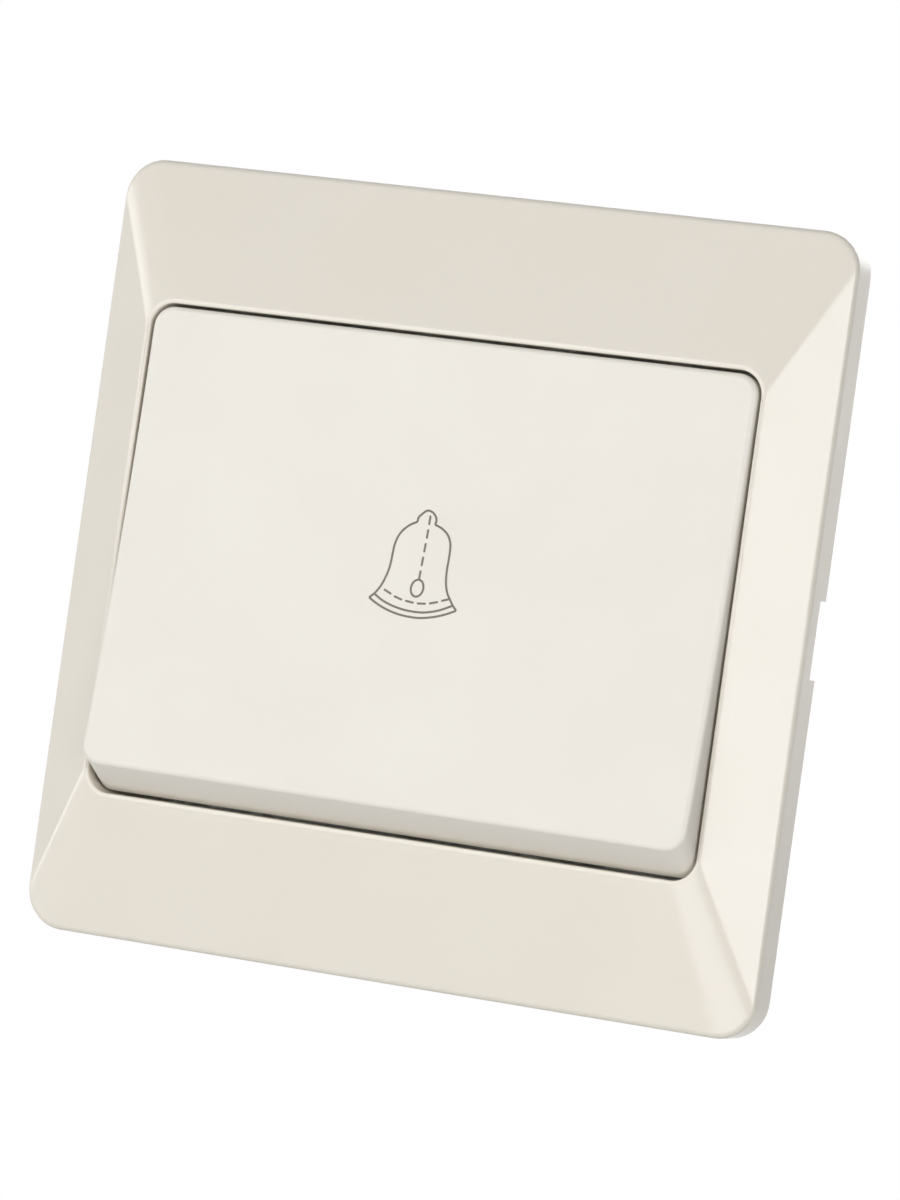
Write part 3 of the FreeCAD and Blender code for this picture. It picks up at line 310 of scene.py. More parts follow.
# %% Finishes
METAL_BUMP = 0.25
METAL_DEPTH = 0.01
ALONG_X = (0.05, 1.0, 1.0)
ALONG_Z = (1.0, 1.0, 0.05)
EVEN = (1.0, 1.0, 1.0)


def finish_from(name, group, tones, gloss, others, metallic, bump, depth):
    """Material whose colour, roughness and height come from a group with its own values."""
    material = bpy.data.materials.new(name)
    material.use_nodes = True
    tree = material.node_tree
    values = {title: (*tone, 1.0) for title, tone in tones.items()}
    values |= {"Gloss Low": gloss[0], "Gloss High": gloss[1], **others}
    made = node(tree, "ShaderNodeGroup", values, node_tree=group).outputs
    feeds = {"Strength": bump, "Distance": depth * MM, "Height": made["Height"]}
    relief = node(tree, "ShaderNodeBump", feeds)
    shader = tree.nodes["Principled BSDF"]
    for title, value in (("Metallic", metallic), ("Base Color", made["Color"]),
                         ("Roughness", made["Roughness"]), ("Normal", relief.outputs["Normal"])):
        feed(tree, shader.inputs[title], value)
    return material


def plastic(name, tone, cloud, gloss, grain, ripple, bump, depth):
    """Moulded plastic; gloss gives the two ends of its roughness."""
    others = {"Grain Scale": grain, "Ripple Share": ripple}
    return finish_from(name, moulded, {"Tone": tone, "Cloud Tone": cloud}, gloss, others, 0.0, bump, depth)


def metal(name, tone, dark, gloss, stretch, crystals=0.0):
    """Worked metal; stretch draws its streaks out along an axis, and crystals is their share in its tone."""
    others = {"Crystal Share": crystals, "Streak Stretch": stretch}
    tones = {"Tone": tone, "Dark Tone": dark}
    return finish_from(name, worked, tones, gloss, others, 1.0, METAL_BUMP, METAL_DEPTH)


FINISH = {
    "frame_plastic": plastic("glossy_cream", (0.775, 0.731, 0.652), (0.765, 0.717, 0.634), (0.16, 0.24),
                             2500.0, 0.9, 0.12, 0.03),
    "key_plastic": plastic("satin_cream", (0.785, 0.755, 0.695), (0.775, 0.742, 0.678), (0.36, 0.44),
                           5000.0, 0.35, 0.20, 0.01),
    "cradle_plastic": plastic("plain_white_plastic", (0.78, 0.76, 0.71), (0.74, 0.72, 0.67), (0.40, 0.55),
                              3000.0, 0.5, 0.25, 0.02),
    "mechanism_plastic": plastic("matt_thermoset", (0.70, 0.68, 0.63), (0.62, 0.60, 0.55), (0.50, 0.66),
                                 2200.0, 0.3, 0.45, 0.03),
    "sign_ink": plastic("sign_ink", (0.135, 0.112, 0.090), (0.165, 0.140, 0.115), (0.42, 0.55),
                        6000.0, 0.2, 0.15, 0.005),
    "zinc_steel": metal("galvanised_sheet", (0.54, 0.53, 0.51), (0.37, 0.36, 0.35), (0.54, 0.74), ALONG_X,
                        crystals=0.5),
    "screw_steel": metal("plated_screw_steel", (0.70, 0.69, 0.66), (0.50, 0.49, 0.46), (0.22, 0.38), EVEN),
    "spring_steel": metal("drawn_wire", (0.55, 0.55, 0.56), (0.32, 0.32, 0.33), (0.22, 0.36), EVEN),
    "brass": metal("stamped_brass", (0.80, 0.62, 0.30), (0.62, 0.45, 0.20), (0.24, 0.40), ALONG_Z),
    "bronze": metal("rolled_bronze", (0.75, 0.50, 0.33), (0.55, 0.34, 0.20), (0.26, 0.42), ALONG_Z),
    "silver": metal("contact_silver", (0.86, 0.86, 0.85), (0.66, 0.66, 0.66), (0.20, 0.32), EVEN),
}
SLOT_OF = {part["node"]: part["material_slot"] for part in frame["record"]["subparts"]}
BODY_OF = {name: body for body, names in frame["record"]["behaviour"]["bodies"].items() for name in names}
for name, slot in SLOT_OF.items():
    frame["nodes"][name].data.materials.clear()
    frame["nodes"][name].data.materials.append(FINISH[slot])
print("finishes:", len(FINISH))

# %% [markdown]
# All meshes are made in millimetres about the real axes and scaled down once, so the numbers below are the
# ones a drawing would carry. Every finished piece keeps its object at the origin, because its place is in its
# mesh.

# %% Making a piece
MERGE = 1e-7
HOLD = 0.04
SHOULDER = 4 * HOLD
SHORTEST_ARC = 0.05
ARC_STEPS = 5
CORNER_STEPS = 12


def solid_mesh(name, points, faces):
    """Mesh from points in millimetres, with its faces turned outwards."""
    mesh = bpy.data.meshes.new(name)
    shape = bmesh.new()
    corners = [shape.verts.new(Vector(point) * MM) for point in points]
    for face in faces:
        shape.faces.new([corners[i] for i in face])
    bmesh.ops.remove_doubles(shape, verts=shape.verts, dist=MERGE)
    bmesh.ops.recalc_face_normals(shape, faces=shape.faces)
    shape.to_mesh(mesh)
    shape.free()
    return mesh


def hand_over(piece, body, stands_for=()):
    """Hang a piece on its body's empty, and hide the solids it stands for, if any."""
    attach(piece, body)
    if stands_for:
        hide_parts(*stands_for)


def add_piece(name, points, faces, body, slot, stands_for=(), smooth=True, finish=None):
    """Mesh object that rides on a body, in a finish that is its slot's own unless another is named."""
    mesh = solid_mesh(name, points, faces)
    mesh.polygons.foreach_set("use_smooth", [smooth] * len(mesh.polygons))
    mesh.materials.append(FINISH[finish or slot])
    hand_over(new_object(name, mesh), body, stands_for)


def turned(places, radii, closed=True):
    """Path through places, each a point of a ring and a depth, that turns every corner by an arc.

    A short straight is left on either side of each arc. An open path keeps its two ends as they are.
    """
    corners = [Vector((spot[0], depth, spot[1])) for spot, depth in places]
    path = []
    count = len(corners)
    for i, corner in enumerate(corners):
        if not closed and i in (0, count - 1):
            path.append(corner)
            continue
        before = (corners[i - 1] - corner).normalized()
        after = (corners[(i + 1) % count] - corner).normalized()
        half_turn = (math.pi - before.angle(after)) / 2
        reach = max(radii[i] * math.tan(half_turn), SHORTEST_ARC)
        start = corner + before * reach
        end = corner + after * reach
        weight = math.cos(half_turn)
        path.append(start + before * HOLD)
        for step in range(ARC_STEPS + 1):
            t = step / ARC_STEPS
            a, b, c = (1 - t) ** 2, 2 * t * (1 - t) * weight, t ** 2
            path.append((start * a + corner * b + end * c) / (a + b + c))
        path.append(end + after * HOLD)
    return path


def quarter(across, up, radius, start):
    """Arc of a quarter turn about a centre, from an angle on."""
    angles = [start + math.pi / 2 * step / CORNER_STEPS for step in range(CORNER_STEPS + 1)]
    return [(across + radius * math.cos(angle), up + radius * math.sin(angle)) for angle in angles]


def half_ring(half_width, low, high, radius, rows):
    """Right half of a rounded rectangle, bottom to top, as points across and up.

    Rows are places on its side, as shares of the straight part.
    """
    reach = half_width - radius
    side_low = low + radius
    side_high = high - radius
    side = [(half_width, side_low + (side_high - side_low) * share) for share in rows]
    return [(reach - SHOULDER, low), *quarter(reach, side_low, radius, -math.pi / 2), *side,
            *quarter(reach, side_high, radius, 0.0), (reach - SHOULDER, high)]


def whole_ring(half_points):
    """Both halves of a ring: up the right side and down the left."""
    return half_points + [(-x, z) for x, z in reversed(half_points)]


def skin(paths, closed_path):
    """Points and faces of a skin over neighbouring paths that run round a closed ring."""
    count = len(paths)
    length = len(paths[0])
    points = [point for path in paths for point in path]
    faces = []
    for i in range(count):
        j = (i + 1) % count
        for k in range(length if closed_path else length - 1):
            m = (k + 1) % length
            faces.append((i * length + k, i * length + m, j * length + m, j * length + k))
    return points, faces


def cap(count, length, at):
    """Faces that close a skin's end, each from the right half of the ring to its twin on the left."""
    last = count // 2 - 1
    rows = [[0, 1, 2]] + [[i, i + 1] for i in range(2, last - 2)] + [[last - 2, last - 1, last]]
    faces = []
    for row in rows:
        ring = row + [count - 1 - i for i in reversed(row)]
        faces.append(tuple(i * length + at for i in ring))
    return faces


print("helpers for skinned pieces are ready")

# %% [markdown]
# Ribs, hooks and posts are plain bars and rods. A bar is an outline carried along one axis, and a rod is an
# outline turned about one, and both close with a flat face at each end. Every edge of a bar is then rounded a
# little by bmesh's bevel, because a moulded edge always is, and a sharp one looks cut out of paper.

# %% Helpers for bars and rods
BEVEL_STEPS = 2


def bar(outline, axis, low, high):
    """Bar along an axis between two places; its outline is given in the other two axes, in their order."""
    points = []
    for place in (low, high):
        for spot in outline:
            point = list(spot)
            point.insert("xyz".index(axis), place)
            points.append(tuple(point))
    return tube(points, len(outline))


def bar_about(outline, axis, middle, thick):
    """Bar of a thickness about its middle."""
    return bar(outline, axis, middle - thick / 2, middle + thick / 2)


def tube(points, sides):
    """Points that run in rings of so many, with faces between the rings and a flat one at each end."""
    faces = [tuple(range(sides)), tuple(range(len(points) - sides, len(points)))]
    for first in range(0, len(points) - sides, sides):
        for side in range(sides):
            i = first + side
            j = first + (side + 1) % sides
            faces.append((i, j, j + sides, i + sides))
    return points, faces


def rod(profile, x, z, sides=32):
    """Rod along Y about a place; its profile is a list of a radius and a place along Y."""
    angles = [2 * math.pi * side / sides for side in range(sides)]
    points = [(x + radius * math.cos(angle), y, z + radius * math.sin(angle))
              for radius, y in profile for angle in angles]
    return tube(points, sides)


def joined(*shapes):
    """Several shapes as one list of points and one of faces."""
    points = []
    faces = []
    for more_points, more_faces in shapes:
        first = len(points)
        points += list(more_points)
        faces += [tuple(first + i for i in face) for face in more_faces]
    return points, faces


def eased(shape, width):
    """A closed shape with all its edges rounded by a width."""
    points, faces = shape
    work = bmesh.new()
    corners = [work.verts.new(point) for point in points]
    for face in faces:
        work.faces.new([corners[i] for i in face])
    bmesh.ops.recalc_face_normals(work, faces=work.faces)
    bmesh.ops.bevel(
        work, geom=work.edges[:], offset=width, segments=BEVEL_STEPS, profile=0.5, affect="EDGES")
    work.verts.index_update()
    points = [tuple(vertex.co) for vertex in work.verts]
    faces = [tuple(vertex.index for vertex in face.verts) for face in work.faces]
    work.free()
    return points, faces


print("helpers for bars and rods are ready")

# %% [markdown]
# The cover frame is one moulding: low side walls, four slopes that rise to a wide opening, and a lip that
# runs back round it. Its section changes round the frame, because the slopes above and below are wider than
# those at the sides. So it is made as a ring of sections, each the same nine corners joined to its neighbour.
# Each corner is turned by a small arc with a short straight on either side, which keeps the flats flat in the
# shading.

# %% Cover frame
SIZE = 80.0
CORNER = 4.0
SIDE = 4.3
DEPTH = 8.3
WALL = 2.0
ROOF = 1.9
OPEN_X = 33.2
OPEN_Z = 25.2
OPEN_CORNER = 2.5
INNER_CORNER = 2.5
LAND = 0.45
LIP = 1.6
LIP_BACK = 3.4
NOTCH = 3.9
NOTCH_DEPTH = 1.6
STEP = 0.04
FRAME_ROUNDS = (0.2, 0.8, 0.3, 0.2, 0.3, 0.3, 0.4, 0.5, 0.2)


def frame_ring(half_x, half_z, radius):
    """Rounded rectangle with places on its sides at the ends of the pry notches."""
    reach = half_z - radius
    places = [-reach + SHOULDER, -NOTCH - STEP, -NOTCH, NOTCH, NOTCH + STEP, reach - SHOULDER]
    shares = [(place / reach + 1) / 2 for place in places]
    return whole_ring(half_ring(half_x, -half_z, half_z, radius, shares))


outer = frame_ring(SIZE / 2, SIZE / 2, CORNER)
rim = frame_ring(OPEN_X + LAND, OPEN_Z + LAND, OPEN_CORNER + LAND)
opening = frame_ring(OPEN_X, OPEN_Z, OPEN_CORNER)
lip = frame_ring(OPEN_X + LIP, OPEN_Z + LIP, OPEN_CORNER + LIP)
inner = frame_ring(SIZE / 2 - WALL, SIZE / 2 - WALL, INNER_CORNER)
sections = []
for i, (x, z) in enumerate(outer):
    notched = abs(z) < NOTCH + STEP / 2 and abs(x) > SIZE / 2 - STEP
    back = -NOTCH_DEPTH if notched else 0.0
    sections.append(turned([
        (outer[i], back), (outer[i], -SIDE), (rim[i], -DEPTH), (opening[i], -DEPTH), (opening[i], -LIP_BACK),
        (lip[i], -LIP_BACK), (lip[i], ROOF - DEPTH), (inner[i], ROOF - SIDE), (inner[i], back),
    ], FRAME_ROUNDS))
frame_skin = skin(sections, True)
print("cover frame:", len(frame_skin[1]), "faces")

# %% [markdown]
# Behind, eight thin ribs tie the lip to the side walls, and four snap hooks reach through the steel strap.
# They are what a hand finds when the frame is off. All are bars whose ends are sunk into the lip and the
# wall, where a mould would join them, and they go into the frame's own mesh because they are one moulding
# with it.

# %% Ribs and hooks of the cover frame
RIB_THICK = 1.2
RIB_X = 20.0
RIB_Z = 14.0
RIB_BACK = -1.4
RIB_SUNK = 0.8
RIB_OUT = 39.0
RIB_SHALLOW = -3.35
RIB_DEEP = -7.35
HOOK_X = 6.0
HOOK_WIDTH = 5.0
HOOK_THICK = 1.4
HOOK_IN = OPEN_Z + 1.0
HOOK_OUT = HOOK_IN + HOOK_THICK
HOOK_BARB = 0.8
HOOK_ROOT = -5.8
HOOK_TIP = 1.65
HOOK_CATCH = 0.15
EASE = 0.12

rib_up = [(RIB_BACK, OPEN_Z + RIB_SUNK), (RIB_BACK, RIB_OUT), (RIB_SHALLOW, RIB_OUT),
          (RIB_DEEP, OPEN_Z + RIB_SUNK)]
rib_across = [(OPEN_X + RIB_SUNK, RIB_BACK), (RIB_OUT, RIB_BACK), (RIB_OUT, RIB_SHALLOW),
              (OPEN_X + RIB_SUNK, RIB_DEEP)]
hook = [(HOOK_ROOT, HOOK_IN), (HOOK_TIP, HOOK_IN), (HOOK_TIP, HOOK_OUT), (HOOK_CATCH, HOOK_OUT + HOOK_BARB),
        (HOOK_CATCH, HOOK_OUT), (HOOK_ROOT, HOOK_OUT)]
bars = []
for hand in (-1, 1):
    for side in (-1, 1):
        bars.append(bar_about([(y, z * side) for y, z in rib_up], "x", RIB_X * hand, RIB_THICK))
        bars.append(bar_about([(x * hand, y) for x, y in rib_across], "z", RIB_Z * side, RIB_THICK))
        bars.append(bar_about([(y, z * side) for y, z in hook], "x", HOOK_X * hand, HOOK_WIDTH))
frame_whole = joined(frame_skin, *[eased(shape, EASE) for shape in bars])
add_piece("cover_moulding", *frame_whole, "wall_unit", "frame_plastic", ["cover_frame"])
print("ribs and hooks:", len(bars))

# %% [markdown]
# The key is a second moulding, hollow behind. Its face is dished a little from top to bottom, and below the
# face a sloped chin leads back into the opening. The skin runs from the face over its edge, down the chin or
# side, and round into the hollow. The face and the floor of the hollow are closed by strips from side to
# side, because the dish only bends from top to bottom, so a straight strip lies on it exactly.

# %% Rocker key
KEY_HALF = OPEN_X - 0.37
KEY_TOP = 24.56
KEY_LOW = -22.63
KEY_FRONT = -6.07
KEY_DISH = 0.7
CHIN_DROP = 2.33
CHIN_BACK = -0.92
KEY_BACK = 0.33
KEY_CORNER = 2.2
CHIN_CORNER = 1.8
FACE_INSET = 1.6
KEY_WALL = 1.8
KEY_ROOF = -3.57
HOLLOW_LOW = KEY_LOW + KEY_WALL / 2
HOLLOW_CORNER = 1.2
FLOOR_INSET = 1.0
FLOOR_CORNER = 0.4
KEY_ROUNDS = (0, 0.5, 0.6, 0.2, 0.2, 0.4, 0)
PIVOT_Y = -4.0
TILT = math.radians(3.65)
FACE_ROWS = 26
middle = (KEY_TOP + KEY_LOW) / 2
chord = (KEY_TOP - KEY_LOW) / 2
DISH_RADIUS = (chord ** 2 + KEY_DISH ** 2) / (2 * KEY_DISH)


def face_y(z):
    """How far back the dished face lies at a height."""
    return KEY_FRONT + KEY_DISH - DISH_RADIUS + math.sqrt(DISH_RADIUS ** 2 - (z - middle) ** 2)


def hung(point):
    """A point of the key's own drawing, hung on its pivot at the rest tilt."""
    x, y, z = point
    cosine, sine = math.cos(TILT), math.sin(TILT)
    return Vector((x, PIVOT_Y + y * cosine + z * sine, z * cosine - y * sine))


def key_ring(inset, low, radius):
    """Ring of the key, drawn in from its outline at the sides and above, with rows that follow the dish."""
    shares = [row / FACE_ROWS for row in range(1, FACE_ROWS)]
    return whole_ring(half_ring(KEY_HALF - inset, low, KEY_TOP - inset, radius, shares))


face_in = key_ring(FACE_INSET, KEY_LOW + FACE_INSET, KEY_CORNER - FACE_INSET)
edge = key_ring(0.0, KEY_LOW, KEY_CORNER)
chin = key_ring(0.0, KEY_LOW - CHIN_DROP, CHIN_CORNER)
hollow = key_ring(KEY_WALL, HOLLOW_LOW, HOLLOW_CORNER)
floor_in = key_ring(KEY_WALL + FLOOR_INSET, HOLLOW_LOW + FLOOR_INSET, FLOOR_CORNER)
sections = []
for i in range(len(edge)):
    path = turned([
        (face_in[i], face_y(face_in[i][1])), (edge[i], face_y(edge[i][1])), (chin[i], CHIN_BACK),
        (chin[i], KEY_BACK), (hollow[i], KEY_BACK), (hollow[i], KEY_ROOF), (floor_in[i], KEY_ROOF),
    ], KEY_ROUNDS, closed=False)
    sections.append([hung(point) for point in path])
key_points, key_faces = skin(sections, False)
length = len(sections[0])
key_faces += cap(len(sections), length, 0) + cap(len(sections), length, length - 1)
print("key:", len(key_faces), "faces, dish radius %.0f mm" % DISH_RADIUS)

# %% [markdown]
# The key's hollow back has four round posts that snap into the cradle, and four upright ribs that keep the
# wide face from bending under a finger. They are made in the key's own drawing, straight, and hung on the
# pivot with it.

# %% Posts and ribs of the key
POST_RADIUS = 1.3
POST_X = 4.4
POST_Z = 6.6
POST_TIP = KEY_ROOF + 2.0
POST_EASE = 0.2
KEY_RIBS = (18.0, 25.0)
KEY_RIB_THICK = 1.0
KEY_RIB_TOP = KEY_TOP - KEY_WALL / 2
KEY_RIB_BACK = KEY_ROOF + 1.4
SUNK = 0.5

profile = [(POST_RADIUS, KEY_ROOF - SUNK), (POST_RADIUS, POST_TIP - POST_EASE),
           (POST_RADIUS - POST_EASE / 3, POST_TIP - POST_EASE / 3), (POST_RADIUS - POST_EASE, POST_TIP)]
shapes = []
for hand in (-1, 1):
    for side in (-1, 1):
        shapes.append(rod(profile, POST_X * hand, POST_Z * side))
    for near in KEY_RIBS:
        start, end = sorted((near * hand, (near + KEY_RIB_THICK) * hand))
        rib = [(start, KEY_LOW), (end, KEY_LOW), (end, KEY_RIB_TOP), (start, KEY_RIB_TOP)]
        shapes.append(eased(bar(rib, "y", KEY_ROOF - SUNK, KEY_RIB_BACK), EASE))
inner_points, inner_faces = joined(*shapes)
key_whole = joined((key_points, key_faces), ([hung(point) for point in inner_points], inner_faces))
add_piece("key_moulding", *key_whole, "key", "key_plastic", ["rocker_key"])
print("posts and ribs:", len(shapes))

# %% [markdown]
# The sign on the key is a bell in thin grey-brown lines, the usual sign for this use. Each line is a flat
# ribbon that follows the dished face, as a printed line does, and stands a few hundredths of a millimetre
# proud, enough to cast no doubt about what is in front. Its points are given on the face, across and up from
# the pivot, and a smooth curve goes through them.

# %% Bell sign: the drawn lines
LINE_WIDTH = 0.22
LINE_PROUD = 0.02
LINE_SUNK = 0.04
KNOB = [(-0.60, 5.98), (-0.60, 6.27), (-0.49, 6.54), (-0.13, 6.92), (0.18, 7.17), (0.50, 7.23), (0.93, 7.06),
        (1.27, 6.70), (1.39, 6.33), (1.32, 5.92)]
LEFT_SIDE = [(-0.60, 5.98), (-1.32, 5.60), (-2.00, 4.98), (-2.44, 4.25), (-2.66, 3.40), (-2.72, 2.55),
             (-2.75, 1.70), (-2.85, 0.88), (-3.05, 0.12), (-3.34, -0.68), (-3.66, -1.26), (-4.00, -1.72),
             (-4.46, -2.16)]
RIGHT_SIDE = [(1.32, 5.92), (2.12, 5.62), (2.82, 5.08), (3.22, 4.36), (3.35, 3.45), (3.36, 2.50),
              (3.35, 1.66), (3.40, 0.83), (3.54, 0.02), (3.80, -0.70), (4.16, -1.25), (4.58, -1.82),
              (5.04, -2.30)]
OUTER_ARC = [(-4.46, -2.16), (-3.49, -2.68), (-2.37, -3.12), (-1.02, -3.44), (0.30, -3.55), (1.45, -3.50),
             (2.83, -3.21), (4.05, -2.78), (5.04, -2.30)]
INNER_ARC = [(-3.98, -1.70), (-3.05, -2.24), (-1.94, -2.64), (-0.59, -2.91), (0.71, -2.98), (1.86, -2.88),
             (3.22, -2.50), (4.57, -1.86)]
CLAPPER = (0.50, -0.60)
CLAPPER_WIDE = 0.66
CLAPPER_HIGH = 0.86
CLAPPER_LEAN = math.radians(-6)
CLAPPER_STEPS = 24


def smooth_path(points, steps=8, closed=False):
    """Curve through points: between two of them it takes its slope from their neighbours."""
    count = len(points)
    path = []
    for i in range(count if closed else count - 1):
        if closed:
            a, b, c, d = (Vector(points[(i + k) % count]) for k in (-1, 0, 1, 2))
        else:
            a, b, c, d = (Vector(points[min(max(i + k, 0), count - 1)]) for k in (-1, 0, 1, 2))
        for step in range(steps):
            t = step / steps
            path.append(b + (c - a) * t / 2 + (a * 2 - b * 5 + c * 4 - d) * t ** 2 / 2
                        + (b * 3 - a - c * 3 + d) * t ** 3 / 2)
    if not closed:
        path.append(Vector(points[-1]))
    return path


def ribbon(path, closed=False):
    """Closed flat ribbon along a path on the key's face."""
    count = len(path)
    points = []
    for i, spot in enumerate(path):
        before = path[i - 1] if closed or i else path[i]
        after = path[(i + 1) % count] if closed or i < count - 1 else path[i]
        along = (after - before).normalized()
        side = Vector((-along.y, along.x)) * LINE_WIDTH / 2
        for place, lift in ((spot + side, LINE_SUNK), (spot + side, -LINE_PROUD), (spot - side, -LINE_PROUD),
                            (spot - side, LINE_SUNK)):
            points.append(hung((place.x, face_y(place.y) + lift, place.y)))
    faces = []
    for i in range(count if closed else count - 1):
        j = (i + 1) % count
        faces += [(4 * i + k, 4 * i + (k + 1) % 4, 4 * j + (k + 1) % 4, 4 * j + k) for k in range(4)]
    if not closed:
        faces += [(0, 1, 2, 3), tuple(4 * (count - 1) + k for k in range(4))]
    return points, faces


ellipse = []
cosine, sine = math.cos(CLAPPER_LEAN), math.sin(CLAPPER_LEAN)
for step in range(CLAPPER_STEPS):
    angle = 2 * math.pi * step / CLAPPER_STEPS
    across = CLAPPER_WIDE * math.cos(angle)
    rise = CLAPPER_HIGH * math.sin(angle)
    ellipse.append((CLAPPER[0] + across * cosine - rise * sine, CLAPPER[1] + across * sine + rise * cosine))
lines = [ribbon(smooth_path(points)) for points in (KNOB, LEFT_SIDE, RIGHT_SIDE, OUTER_ARC, INNER_ARC)]
lines.append(ribbon(smooth_path(ellipse, 3, closed=True), closed=True))
add_piece("sign_lines", *joined(*lines), "key", "key_plastic", smooth=False, finish="sign_ink")
print("sign lines:", len(lines))

# %% [markdown]
# Some things here repeat: dashes along a line, coils of a spring, screws at their holes. Geometry Nodes suit
# them, because the rule is written once and the numbers come in by name. Each tree takes a small mesh that
# says where, ends by making its copies real and giving them a finish, and its result is kept as a plain mesh,
# so that nothing about the piece depends on a modifier afterwards.

# %% Helpers for Geometry Nodes


def new_tree(name, inputs):
    """Geometry tree that takes and gives a geometry, with more inputs given as a name and a kind."""
    tree = bpy.data.node_groups.new(name, "GeometryNodeTree")
    tree.interface.new_socket("Geometry", in_out="INPUT", socket_type="NodeSocketGeometry")
    for title, kind in inputs + [("Finish", "NodeSocketMaterial")]:
        tree.interface.new_socket(title, in_out="INPUT", socket_type=kind)
    tree.interface.new_socket("Geometry", in_out="OUTPUT", socket_type="NodeSocketGeometry")
    return tree, node(tree, "NodeGroupInput").outputs


def end_tree(tree, copies, finish):
    """End a tree: copies set on points, made real and given their finish."""
    copies = node(tree, "GeometryNodeInstanceOnPoints", copies).outputs["Instances"]
    real = node(tree, "GeometryNodeRealizeInstances", {"Geometry": copies}).outputs["Geometry"]
    painted = node(tree, "GeometryNodeSetMaterial", {"Geometry": real, "Material": finish})
    node(tree, "NodeGroupOutput", {"Geometry": painted.outputs["Geometry"]})


def guide(name, spots, edges=()):
    """Mesh of bare points in millimetres that says where a tree sets its copies."""
    mesh = bpy.data.meshes.new(name)
    mesh.from_pydata([Vector(spot) * MM for spot in spots], list(edges), [])
    return mesh


def pattern(name, points, faces):
    """Hidden object whose mesh a tree copies; it is removed once the copies are made."""
    model = new_object(name, solid_mesh(name, points, faces))
    model.hide_render = True
    return model


def kept_plain(piece):
    """Keep what a piece's modifiers make of it as its own plain mesh."""
    mesh = bpy.data.meshes.new_from_object(piece.evaluated_get(bpy.context.evaluated_depsgraph_get()))
    piece.modifiers.clear()
    mesh.name = piece.name
    piece.data = mesh
    return mesh


def grown(name, where, tree, values, body, slot, stands_for=(), finish=None):
    """Piece that a tree makes from a guide mesh and named values, kept as a plain mesh."""
    piece = new_object(name, where)
    modifier = piece.modifiers.new("grow", "NODES")
    modifier.node_group = tree
    sockets = {item.name: item.identifier for item in tree.interface.items_tree if item.in_out == "INPUT"}
    for title, value in {**values, "Finish": FINISH[finish or slot]}.items():
        modifier[sockets[title]] = value
    mesh = kept_plain(piece)
    hand_over(piece, body, stands_for)
    print(name, "has", len(mesh.polygons), "faces")
    return piece


# %% [markdown]
# Two lines of the sign are dashed: the clapper's stem and the far edge of the bell's mouth. One tree makes
# both. It turns the guide into a curve, sets equal steps along it, and at each step puts a copy of one small
# slab with round ends, turned along the curve and flat on the key's face.

# %% Bell sign: the dashes
DASH = 0.98
STEM = [(0.68, 6.29), (0.68, 5.50), (0.66, 4.60), (0.62, 3.20), (0.58, 1.60), (0.56, 0.73)]
STEM_DASHES = 5
MOUTH = [(-2.58, -1.34), (-1.55, -1.77), (-0.48, -2.00), (0.90, -2.09), (2.30, -1.88), (3.74, -1.38)]
MOUTH_DASHES = 6
END_STEPS = 12

dashes, given = new_tree("dashes_on_a_path", [
    ("Dash", "NodeSocketObject"), ("Count", "NodeSocketInt"), ("Back", "NodeSocketVector")])
curve = node(dashes, "GeometryNodeMeshToCurve", {"Mesh": given["Geometry"]}).outputs["Curve"]
row = node(dashes, "GeometryNodeMeshLine", {"Count": given["Count"]}).outputs["Mesh"]
index = node(dashes, "GeometryNodeInputIndex").outputs[0]
share = calc(dashes, "DIVIDE", index, calc(dashes, "SUBTRACT", given["Count"], 1))
sample = node(dashes, "GeometryNodeSampleCurve", {"Curves": curve, "Factor": share}, mode="FACTOR").outputs
placed = node(dashes, "GeometryNodeSetPosition", {"Geometry": row, "Position": sample["Position"]})
lengthways = node(dashes, "FunctionNodeAlignRotationToVector", {"Vector": sample["Tangent"]}, axis="X")
feeds = {"Rotation": lengthways.outputs["Rotation"], "Vector": given["Back"]}
flat_on = node(dashes, "FunctionNodeAlignRotationToVector", feeds, axis="Y", pivot_axis="X")
slab = node(dashes, "GeometryNodeObjectInfo", {"Object": given["Dash"]})
end_tree(dashes, {"Points": placed.outputs["Geometry"], "Instance": slab.outputs["Geometry"],
                  "Rotation": flat_on.outputs["Rotation"]}, given["Finish"])

round_end = []
end_radius = LINE_WIDTH / 2
for step in range(END_STEPS + 1):
    angle = math.pi * step / END_STEPS - math.pi / 2
    round_end.append((DASH / 2 - end_radius + end_radius * math.cos(angle), end_radius * math.sin(angle)))
slab_outline = round_end + [(-x, -z) for x, z in round_end]
dash_slab = pattern("dash_slab", *bar(slab_outline, "y", -LINE_PROUD, LINE_SUNK))
towards_back = hung((0, 1, 0)) - hung((0, 0, 0))
for name, path, count in (("sign_stem_dashes", STEM, STEM_DASHES),
                          ("sign_mouth_dashes", MOUTH, MOUTH_DASHES)):
    spots = [hung((spot.x, face_y(spot.y), spot.y)) for spot in smooth_path(path)]
    where = guide(name + "_guide", spots, [(i, i + 1) for i in range(len(spots) - 1)])
    values = {"Dash": dash_slab, "Count": count, "Back": towards_back}
    grown(name, where, dashes, values, "key", "key_plastic", finish="sign_ink")
bpy.data.objects.remove(dash_slab)

# %% [markdown]
# Three compression springs work behind the key: two lift it and a small one holds the contact open. A spring
# is a rule, a wire carried round and along at once, so it is the plainest use of Geometry Nodes: a straight
# line is cut into many points, each point is moved by a sine, a cosine and a rise, and a round profile is
# swept along. Half a turn or less at each end lies flat, as a real spring's does where it bears.

# %% Springs
RETURN_X = 9.0
RETURN_Z = -6.9
RETURN_BACK = 4.0
ARM_SPRING_Z = -2.0
ARM_SPRING_BACK = 11.0
WIRE_SIDES = 12
STEPS_PER_TURN = 40.0

